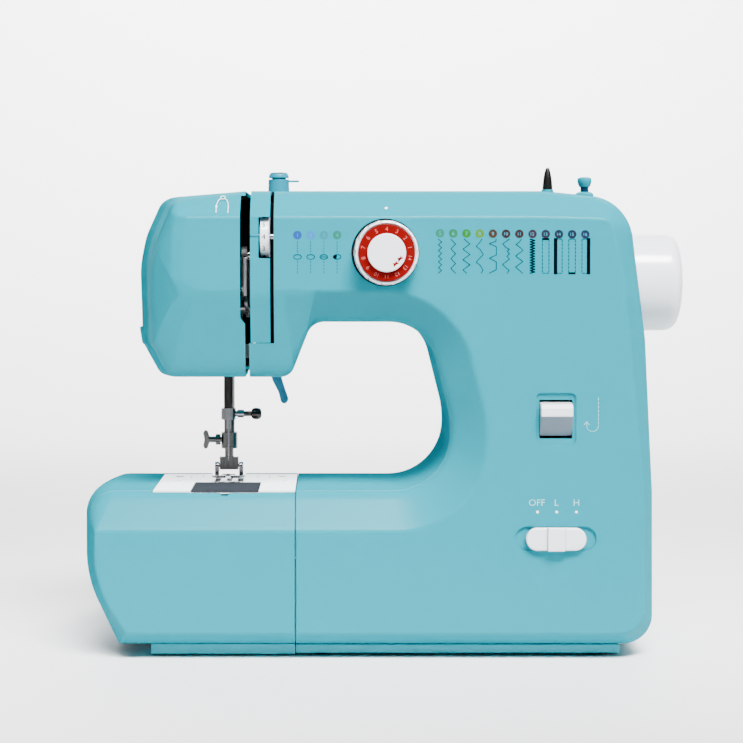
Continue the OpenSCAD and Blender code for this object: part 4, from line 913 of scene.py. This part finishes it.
low, high = control["leverLow"], control["leverHigh"]
section = [(-58, high - 0.6), (-64, high - 1.4), (-66, high - 3.2), (-66, high - 7.6), (-65, high - 8.8),
           (-57.4, low + 0.3), (-55.6, low + 0.3), (-51, low + 2.6), (-40, 130), (-40, 136), (-51, high - 0.6)]
half = control["leverWidth"] / 2
lever = prism("reverseLever", section, "x", cx - half, cx + half, whitePlastic)
bevel(lever, 0.45, 3, 25)
lever.data.materials.append(leverPaintedShade)
# faces turned down below the paddle take painted shade
for polygon in lever.data.polygons:
    if polygon.normal.z < -0.3 and polygon.center.z * 1000 < high - 8:
        polygon.material_index = 1
axle = lathe("reverseAxle", [(cx - 12.7, 1.5), (cx + 12.7, 1.5)], (0, -43, 133), "x", brightSteel, 24)
place(lever, "reverse", "reverse_lever", slot="white_plastic", soft=40)
place(axle, "reverse", slot="bright_steel")

sz = control["sliderZ"]
slider = prism("speedKnob", rounded2(cx, sz, control["sliderLength"], control["sliderHeight"], 6.2, 16),
    "y", -63.1, -59.1, whitePlastic)
bevel(slider, 1.1, 4, 50)
ridge = prism("knobRidge", rounded2(cx, sz, 10, 13, 0.8), "y", -64.6, -60.5, whitePlastic)
bevel(ridge, 1.3, 3, 50)
# the ridge's side faces take painted shade, standing in for the soft shadows beside it
ridge.data.materials.append(ridgePaintedShade)
for polygon in ridge.data.polygons:
    if abs(polygon.normal.x) > 0.3:
        polygon.material_index = 1
stem = block("knobStem", (cx - 6, -59.6, sz - 2), (cx + 6, -51.3, sz + 2), whitePlastic)
place(join("speedKnob", [slider, ridge, stem]), "switch", "speed_switch", slot="white_plastic", soft=40)
print("controls ready")


# printed marks on the front

printY, printThick = 0.02 - shell["halfDepth"], 0.08
chart = {"leftX": -48.32, "rightX": 29.4, "step": 7.2, "top": 231.2, "bottom": 212.6, "radius": 2.32, "line": 0.42}
leftColours = [(0.001, 0.045, 0.26), (0.001, 0.14, 0.4), (0.001, 0.15, 0.2), (0.001, 0.13, 0.085)]
rightColours = [
    (0.001, 0.13, 0.07), (0.001, 0.12, 0.045), (0.001, 0.14, 0.0005), (0.045, 0.16, 0.0005), (0.03, 0.009, 0.0005),
    (0.014, 0.0005, 0.0005), (0.016, 0.0005, 0.0025), (0.02, 0.0005, 0.012), (0.004, 0.0008, 0.018),
    (0.0006, 0.0008, 0.015), (0.0005, 0.001, 0.02), (0.0005, 0.004, 0.035)]


def chartCircle(name, x, z, colour, number):
    mat = ink(name + "Ink", colour, 0.4, 0.02)
    disc = prism(name, ring(x, z, chart["radius"], 40), "y", printY - printThick, printY, mat)
    digit = lettering(name + "Digit", str(number), 2.9 if number < 10 else 2.5, (x, z), 0, inkTeal, printY - 0.1)
    return [disc, digit]


leftXs = [chart["leftX"] + i * chart["step"] for i in range(4)]
rightXs = [chart["rightX"] + i * chart["step"] for i in range(12)]
printed = []
for i, colour in enumerate(leftColours):
    printed += chartCircle("stitchMark%d" % (i + 1), leftXs[i], 233.4, colour, i + 1)
for i, colour in enumerate(rightColours):
    printed += chartCircle("stitchMark%d" % (i + 5), rightXs[i], 234.4 - i * 0.055, colour, i + 5)
place(join("stitchNumbers", printed), "machine")

dash = boxUnit(1.1, 0.3, 0.08)
dashSets = []
for x in leftXs:
    for z0, z1 in ((230, 223.9), (219.2, 212.6)):
        # a row along X, stood up so that it runs down the front
        stand = upright((x, printY - 0.04, z0 - 0.55)) @ Matrix.Rotation(pi / 2, 4, "X")
        dashSets.append(spread("dashes", rowTree, 4, (z0 - z1 - 1.1) * mm, dash, inkDark, stand))
place(join("buttonholeDashes", dashSets), "machine")

lines = [oval(x, 221.5, 2.1, 1.25) for x in leftXs]
lines.append([(leftXs[2] - 1.4, 221.5), (leftXs[2] + 1.4, 221.5)])
top, bottom = chart["top"], chart["bottom"]
high = top - bottom


def zig(x, width, turns):
    return [(x + (width if j % 2 else -width) / 2, top - high * j / turns) for j in range(turns + 1)]


xs = dict(enumerate(rightXs, 5))
lines.append(zig(xs[5], 1.8, 12))
lines.append(zig(xs[6], 2.6, 7))
shapes = {  # for each stitch, points as distance to the right of its centre and down from the top
    7: [(-1.3, 0), (1.9, 2.6), (-1.9, 5.4), (1.9, 8.4), (-1.9, 11.2), (1.9, 14), (-1.9, 16.8), (0.2, high)],
    8: [(1.2, 0), (0, 1.8), (-1.8, 3.9), (0.2, 5.6), (2, 8.4), (0, 10.4), (-1.8, 12.6), (0.4, 14.4), (1.9, 17),
        (0.8, high)],
    9: [(1.8, 0), (1.6, 1.2), (-1.9, 2.4), (1.9, 4.2), (1.9, 8.6), (-1.9, 10.4), (1.9, 12.4), (1.9, 16.6),
        (-1.9, high)],
    10: [(1.8, 0), (-1.9, 2.6), (0, 4.6), (1.9, 5.6), (0.6, 6.6), (1.9, 8), (0.4, 9.4), (1.9, 10.8), (-1.9, 13.8),
         (0, 15.6), (1.7, 17), (0.6, high)],
    11: [(1.2, 0), (0, 1.6), (-1.8, 3), (0.3, 4.4), (2, 6.2), (-2, 9.2), (2, 12.2), (-2, 15.2), (1.9, high)]}
lines += [[(xs[n] + dx, top - dz) for dx, dz in shape] for n, shape in shapes.items()]
for n in (13, 14, 15, 16):
    x = xs[n]
    for side in (-1, 1):
        if (n, side) in ((14, -1), (16, 1)):
            continue
        for j in range(9):
            z0 = top - j * high / 9 - 0.3
            lines.append([(x + side * 1.8, z0), (x + side * 1.8, z0 - high / 9 + 0.8)])
    for z, solid in ((top, n == 13), (bottom, n == 15)):
        if not solid:
            lines.append([(x - 1.5, z), (x - 0.3, z)])
            lines.append([(x + 0.3, z), (x + 1.5, z)])
place(strokes("stitchLines", lines, chart["line"], inkDark, printY), "machine")
satin = strokes("satinLines", [zig(xs[12], 2.7, 26)], 0.62, inkBlack, printY)
bars = [[(xs[n] - 1.6, z), (xs[n] + 1.6, z)] for n, z in ((13, top), (15, bottom))]
bars = strokes("satinBars", bars, 1.1, inkBlack, printY)
sides = [[(x, top), (x, bottom)] for x in (xs[14] - 1.8, xs[16] + 1.8)]
sides = strokes("satinSides", sides, 1.9, inkBlack, printY)
halfOval = oval(leftXs[3], 221.5, 2, 1.15, 16, pi / 2, 3 * pi / 2)[:-1]
dotHalf = prism("halfOval", halfOval, "y", printY - 0.09, printY, inkBlack)
place(join("satinMarks", [satin, bars, sides, dotHalf]), "machine")

whiteMarks = [lettering("label" + text, text, 5.2, (x, 87.2), 0, inkPale, printY - 0.04)
              for text, x in (("OFF", 82.6), ("L", 93.4), ("H", 104.2))]
whiteMarks += [prism("switchDot", ring(x, 82.05, 0.75, 24), "y", printY - printThick, printY, inkWhite)
               for x in (82.9, 93.4, 104.2)]
arrowX = 116.1
arrowLines = [[(arrowX, z), (arrowX, z - 1.3)] for z in [144.6 - j * 2.2 for j in range(7)]]
arrowLines.append([(arrowX, 129.4)] + oval(arrowX - 3.2, 129.4, 3.2, 3.2, 14, 0, -pi) + [(arrowX - 6.4, 131.2)])
arrowLines.append([(arrowX - 7.8, 129.8), (arrowX - 6.4, 131.6), (arrowX - 5, 129.8)])
whiteMarks.append(strokes("turnArrow", arrowLines, 0.4, inkPale, printY))
place(join("whiteMarks", whiteMarks), "machine")

# marks on the sloped border above the crease
outward = Vector((0, -shell["topBorder"], shell["slopeDepth"])).normalized()


def onSlope(obj):
    # carries a flat mark drawn at the front plane on to the sloped border, about the crease
    angle = -atan2(shell["slopeDepth"], shell["topBorder"])
    obj.data.transform(about(toWorld((0, -shell["halfDepth"], topFront)), angle, "X"))
    obj.data.transform(Matrix.Translation(outward * 0.00012))
    return obj


icon = [oval(-89.4, 258.2, 1.2, 1.2, 16), [(-92.8, 246.5), (-92.8, 252.5), (-91.8, 256), (-90.2, 257.6)],
        [(-88.6, 257.6), (-87, 256), (-86.3, 252.5), (-86.3, 246.5)], [(-93.3, 250.8), (-92.8, 252.4), (-92.2, 250.8)]]
place(onSlope(strokes("threadIcon", icon, 0.35, inkWhite, printY)), "machine")
place(onSlope(prism("dialDot", ring(0.2, 250, 0.9, 28), "y", printY - printThick, printY, inkWhite)), "machine")
print("marks ready")


# needle, presser foot and lever

def dressed(node, body, name, width, material):
    # the node's own shape with its edges softened
    mesh = frame["nodes"][node].data.copy()
    mesh.name = name
    with editing(mesh) as bm:
        bmesh.ops.remove_doubles(bm, verts=bm.verts, dist=1e-6)
        bmesh.ops.dissolve_limit(bm, angle_limit=radians(1), verts=bm.verts, edges=bm.edges)
    obj = newObject(name, mesh)
    mesh.materials.clear()
    mesh.materials.append(material)
    bevel(obj, width, 2, 40)
    place(obj, body, node, slot=nodeSlot[node], soft=45)


dressed("foot_holder", "presser_unit", "footHolder", 0.4, greySteel)
dressed("needle_clamp", "needle_unit", "needleClamp", 0.4, brightSteel)
dressed("needle_bar", "needle_unit", "needleBar", 0.2, darkSteel)
dressed("presser_bar", "presser_unit", "presserBar", 0.2, greySteel)
dressed("take_up_lever", "take_up", "takeUpLever", 0.3, brightSteel)
postAt = (fitting["postX"], fitting["y"], 0)
post = lathe("threadGuidePost", [(258.3, 0, 0), (258.3, 6.2, 0.3), (266, 5.95, 0.2), (266, 4.2, 0), (266.8, 4.2, 0),
    (266.8, 5.9, 0.3), (269.6, 5.7, 2.2), (270.4, 2.5, 3), (270.4, 0, 0)], postAt, "z", postTeal, 64, 5)
smooth(post, 30)
postStem = lathe("guidePostStem", [(248, 2), (259, 2)], postAt, "z", postTeal, 32)
guideBlade = block("guideBlade", (-55, 6.8, 264.4), (-48.4, 9.2, 265.6), postTeal)
bevel(guideBlade, 0.35, 2)
post = join("threadGuidePost", [post, postStem, guideBlade])
place(post, "machine", "thread_guide_post", slot="teal_plastic", soft=35)
dressed("power_jack", "machine", "powerJack", 0.4, blackPlastic)
dressed("pedal_jack", "machine", "pedalJack", 0.4, blackPlastic)

screwZ = 131.1
sleeve = lathe("clampSleeve", [(-85.95, 0, 0), (-85.95, 1.5, 0.3), (-84, 1.5, 0), (-84, 2.3, 0.3), (-80, 2.3, 0.3),
    (-80, 1.2, 0), (-79.8, 0, 0)], (0, 0, screwZ), "x", brightSteel, 40, 4)
# the knob, and the knurls on its thickest part
clampScrew = lathe("clampScrew", [(-80.6, 0, 0), (-80.6, 1.5, 0), (-76, 1.5, 0), (-75.6, 2.9, 1.2), (-73, 3.5, 2.4),
    (-70.4, 2.9, 1.4), (-70, 1.6, 0.4), (-70, 0, 0)], (0, 0, screwZ), "x", darkSteel, 40, 4)
smooth(clampScrew, 35)
knurls = spread("clampKnurls", ringTree, 28, 0.00315, boxUnit(0.4, 0.3, 2.4), darkSteel, upright((-73.1, 0, screwZ)))
place(join("clampScrew", [clampScrew, sleeve, knurls]), "needle_screw", "clamp_screw", slot="bright_steel")

footZ = 94.7
heel = {"from": 9, "to": 15, "rise": 1, "thin": 0.2}
sole = [[-98.5, 15, 1], [-98.5, -3, 4], [-96.5, -7.5, 2], [-90.6, -7.5, 1.2], [-89.8, -2.4, 0.1],
        [-88.2, -2.4, 0.1], [-87.4, -7.5, 1.2], [-81.5, -7.5, 2], [-79.5, -3, 4], [-79.5, 15, 1]]
footPlate = prism("presserSole", [tuple(p) for p in roundedPath(sole, 4)], "z", footZ, footZ + 1.4, brightSteel)
cutOut(footPlate, [prism("cutSole", rounded2(needleX, -0.2, 7.6, 4.8, 1.2), "z", footZ - 1, footZ + 3)])
bevel(footPlate, 0.3, 2, 50)
with editing(footPlate.data) as bm:
    for y in (heel["from"], heel["from"] + 2, heel["from"] + 4):
        whole = bm.verts[:] + bm.edges[:] + bm.faces[:]
        bmesh.ops.bisect_plane(bm, geom=whole, plane_co=toWorld((0, y, 0)), plane_no=(0, 1, 0))
    for v in bm.verts:
        t = (v.co.y * 1000 - midY - heel["from"]) / (heel["to"] - heel["from"])
        if t > 0:
            upper = (v.co.z * 1000 - footZ) / 1.4
            v.co.z += (heel["rise"] * t - heel["thin"] * t * upper) * mm
lugs = []
for side in (-1, 1):
    outline = [(4.6, footZ + 1), (9.4, footZ + 1)] + oval(7, 100.3, 2.4, 2.4, 11, 0, pi)
    x = needleX + side * 7
    lug = prism("footLug", outline, "x", x - 1.2, x + 1.2, brightSteel)
    bevel(lug, 0.25, 2, 50)
    lugs.append(lug)
pin = lathe("footPin", [(-97, 1.2), (-81, 1.2)], (0, 7, 100.7), "x", brightSteel, 28)
place(join("presserFoot", [footPlate, *lugs, pin]), "foot", "presser_foot", slot="bright_steel", soft=40)

thumbZ = 115.3
thumb = lathe("thumbScrew", [(-97, 0, 0), (-97, 1.5, 0), (-97, 3.2, 0.3), (-94.1, 3.2, 0.3), (-94.1, 1.5, 0),
    (-92.4, 1.5, 0), (-92.4, 0, 0)], (0, 10, thumbZ), "x", greySteel, 36, 4)
neck = lathe("thumbNeck", [(-101, 0, 0), (-101, 1.8, 0.3), (-96.8, 1.8, 0), (-96.8, 0, 0)], (0, 10, thumbZ),
    "x", greySteel, 32, 4)
wing = [(-100.6, 1.6), (-101.6, 5), (-103.4, 5.6), (-104.3, 3.6)]
wing = [(x, thumbZ - dz) for x, dz in wing] + [(-103.6, thumbZ)] + [(x, thumbZ + dz) for x, dz in reversed(wing)]
wing = prism("thumbWing", wing, "y", 8.9, 11.1, greySteel)
bevel(wing, 0.6, 3, 40)
place(join("thumbScrew", [thumb, neck, wing]), "ankle_screw", "foot_screw", slot="bright_steel", soft=40)

lifterOutline = [
    [-66, 166, 3.8], [-65.8, 157, 8], [-64.4, 150, 10], [-60.6, 142.6, 10], [-59, 136.2, 2.2], [-56.2, 135.6, 2],
    [-54.7, 138.4, 2], [-56.8, 144.5, 10], [-58.9, 151, 8], [-58, 160, 8], [-58, 166, 3.8], [-59, 170, 3.6],
    [-65, 170, 3.6]]
lifter = prism("lifterLever", [tuple(p) for p in roundedPath(lifterOutline, 5)], "y", 13.4, 17.4, leverBlue)
bevel(lifter, 0.8, 4, 50)
pinL = lathe("lifterPin", [(15.4, 2), (25, 2)], (-62, 0, 166), "y", brightSteel, 24)
place(join("lifterLever", [lifter, pinL]), "lifter", "presser_lifter", slot="lever_blue", soft=45)

lamp = lathe("lampLens", [(154.9, 3.4, 0), (154.2, 3.4, 0.5), (153.5, 2.2, 0.6), (153.3, 0, 0)], (-116, -16, 0),
    "z", lampLens, 32, 4)
place(lamp, "machine", soft=40)
print("needle and foot ready")


# fittings on top

winderAt, stopperAt = (fitting["winderX"], fitting["y"], 0), (fitting["stopperX"], fitting["y"], 0)
spindle = lathe("winderSpindle", [(240, 0, 0), (240, 6, 0.4), (247.7, 6, 0.4), (247.7, 2, 0), (252.3, 2, 0),
    (252.3, 3.6, 0.2), (259, 3.6, 0.3), (259, 3, 0), (263, 2.95, 4), (269, 2.1, 2.5), (272.7, 1, 0.6), (273, 0, 0)],
    winderAt, "z", spindleSteel, 48, 4)
place(spindle, "winder", "winder_spindle", slot="dark_steel", soft=35)
spool = [(196, 0, 0), (196, 3.5, 0.4), (200, 3.5, 0.4), (200, 2.5, 0), (259.4, 2.5, 0.8), (259.4, 0, 0)]
spool = lathe("spoolPin", spool, (fitting["spoolX"], fitting["spoolY"], 0), "z", whitePlastic, 40, 4)
place(spool, "spool_holder", "spool_pin", slot="white_plastic", soft=35)
collar = lathe("winderCollar", [(258.2, 2.6, 0), (258.2, 3.4, 0.3), (260.2, 3.4, 0.4), (260.2, 2.6, 0)],
    winderAt, "z", teal, 40, 4)
place(collar, "winder", soft=35)
stopper = lathe("winderStopper", [(250.6, 0, 0), (250.6, 2.4, 0), (256.4, 2.4, 0), (256.4, 5.2, 0.2), (257.9, 5.2, 0.8),
    (258.9, 3.2, 0.6), (258.9, 2.4, 0)], stopperAt, "z", teal, 56, 5)
# the stopper's neck is painted dark as shade
stopperNeck = lathe("stopperNeck", [(258.7, 2.35), (261.9, 2.35)], stopperAt, "z", navyPlastic, 40)
stopperCup = lathe("stopperCup", [(261.6, 0, 0), (261.6, 3, 0.5), (264.4, 4.1, 1), (266.6, 4.1, 0.9), (267.4, 2.6, 1.2),
    (267.4, 0, 0)], stopperAt, "z", teal, 56, 5)
stopper = join("winderStopper", [stopper, stopperNeck, stopperCup])
place(stopper, "machine", "winder_stopper", slot="teal_plastic", soft=35)
print("fittings ready")


# floor, light and camera

def areaLight(name, at, aim, size, power, spreadAngle):
    data = bpy.data.lights.new(name, "AREA")
    data.shape = "RECTANGLE"
    data.size, data.size_y = size
    data.energy = power
    data.spread = radians(spreadAngle)
    obj = newObject(name, data)
    obj.location = at
    obj.rotation_euler = (Vector(aim) - Vector(at)).to_track_quat("-Z", "Y").to_euler()


floorMat = finish("paleFloor", (0.93, 0.93, 0.935), 0.6, vary=0.004, grain=200, bump=0, specular=0.2)
floorMesh = bpy.data.meshes.new("floor")
bend = [(1.2 + 1.2 * sin(a), 1.2 - 1.2 * cos(a)) for a in np.linspace(0.1, pi / 2, 14)]
floorRows = [(-3, 0), (1.2, 0)] + bend + [(2.4, 4)]
floorPts = [(x, y, z) for y, z in floorRows for x in (-4, 4)]
floorMesh.from_pydata(floorPts, [], [(2 * i, 2 * i + 1, 2 * i + 3, 2 * i + 2) for i in range(len(floorRows) - 1)])
floorMesh.materials.append(floorMat)
floor = newObject("floor", floorMesh)
floorMesh.polygons.foreach_set("use_smooth", [True] * len(floorMesh.polygons))

lamps = {"world": 0.1, "key": 19, "backdrop": 190, "frontFloor": 70}
world = bpy.data.worlds.new("studio")
scene.world = world
world.use_nodes = True
feed(world.node_tree, world.node_tree.nodes["Background"], {"Color": (1, 1, 1, 1), "Strength": lamps["world"]})

areaLight("keyLight", (0.3, -0.95, 1.5), (0, 0, 0.13), (1.5, 0.45), lamps["key"], spreadAngle=50)
areaLight("backdropLight", (0, 1.3, 2.3), (0, 2.5, 0.9), (2.4, 0.6), lamps["backdrop"], spreadAngle=125)
areaLight("frontFloorLight", (0, -2.7, 2.4), (0, -3, 0), (2.6, 1.2), lamps["frontFloor"], spreadAngle=90)

view = {"x": -0.0306, "y": -1.153, "z": 0.2253, "pitch": 1.4, "focal": 2017, "shiftX": 0.0559, "shiftY": -0.0972,
        "pixels": 743, "sensor": 36}
camData = bpy.data.cameras.new("camera")
camera = newObject("camera", camData)
camera.location = (view["x"], view["y"], view["z"])
camera.rotation_euler = (radians(90 - view["pitch"]), 0, 0)
camData.sensor_fit = "HORIZONTAL"
camData.sensor_width = view["sensor"]
camData.lens = view["sensor"] * view["focal"] / view["pixels"]
camData.shift_x, camData.shift_y = view["shiftX"], view["shiftY"]
camData.clip_start = 0.01
scene.camera = camera

print("scene ready")
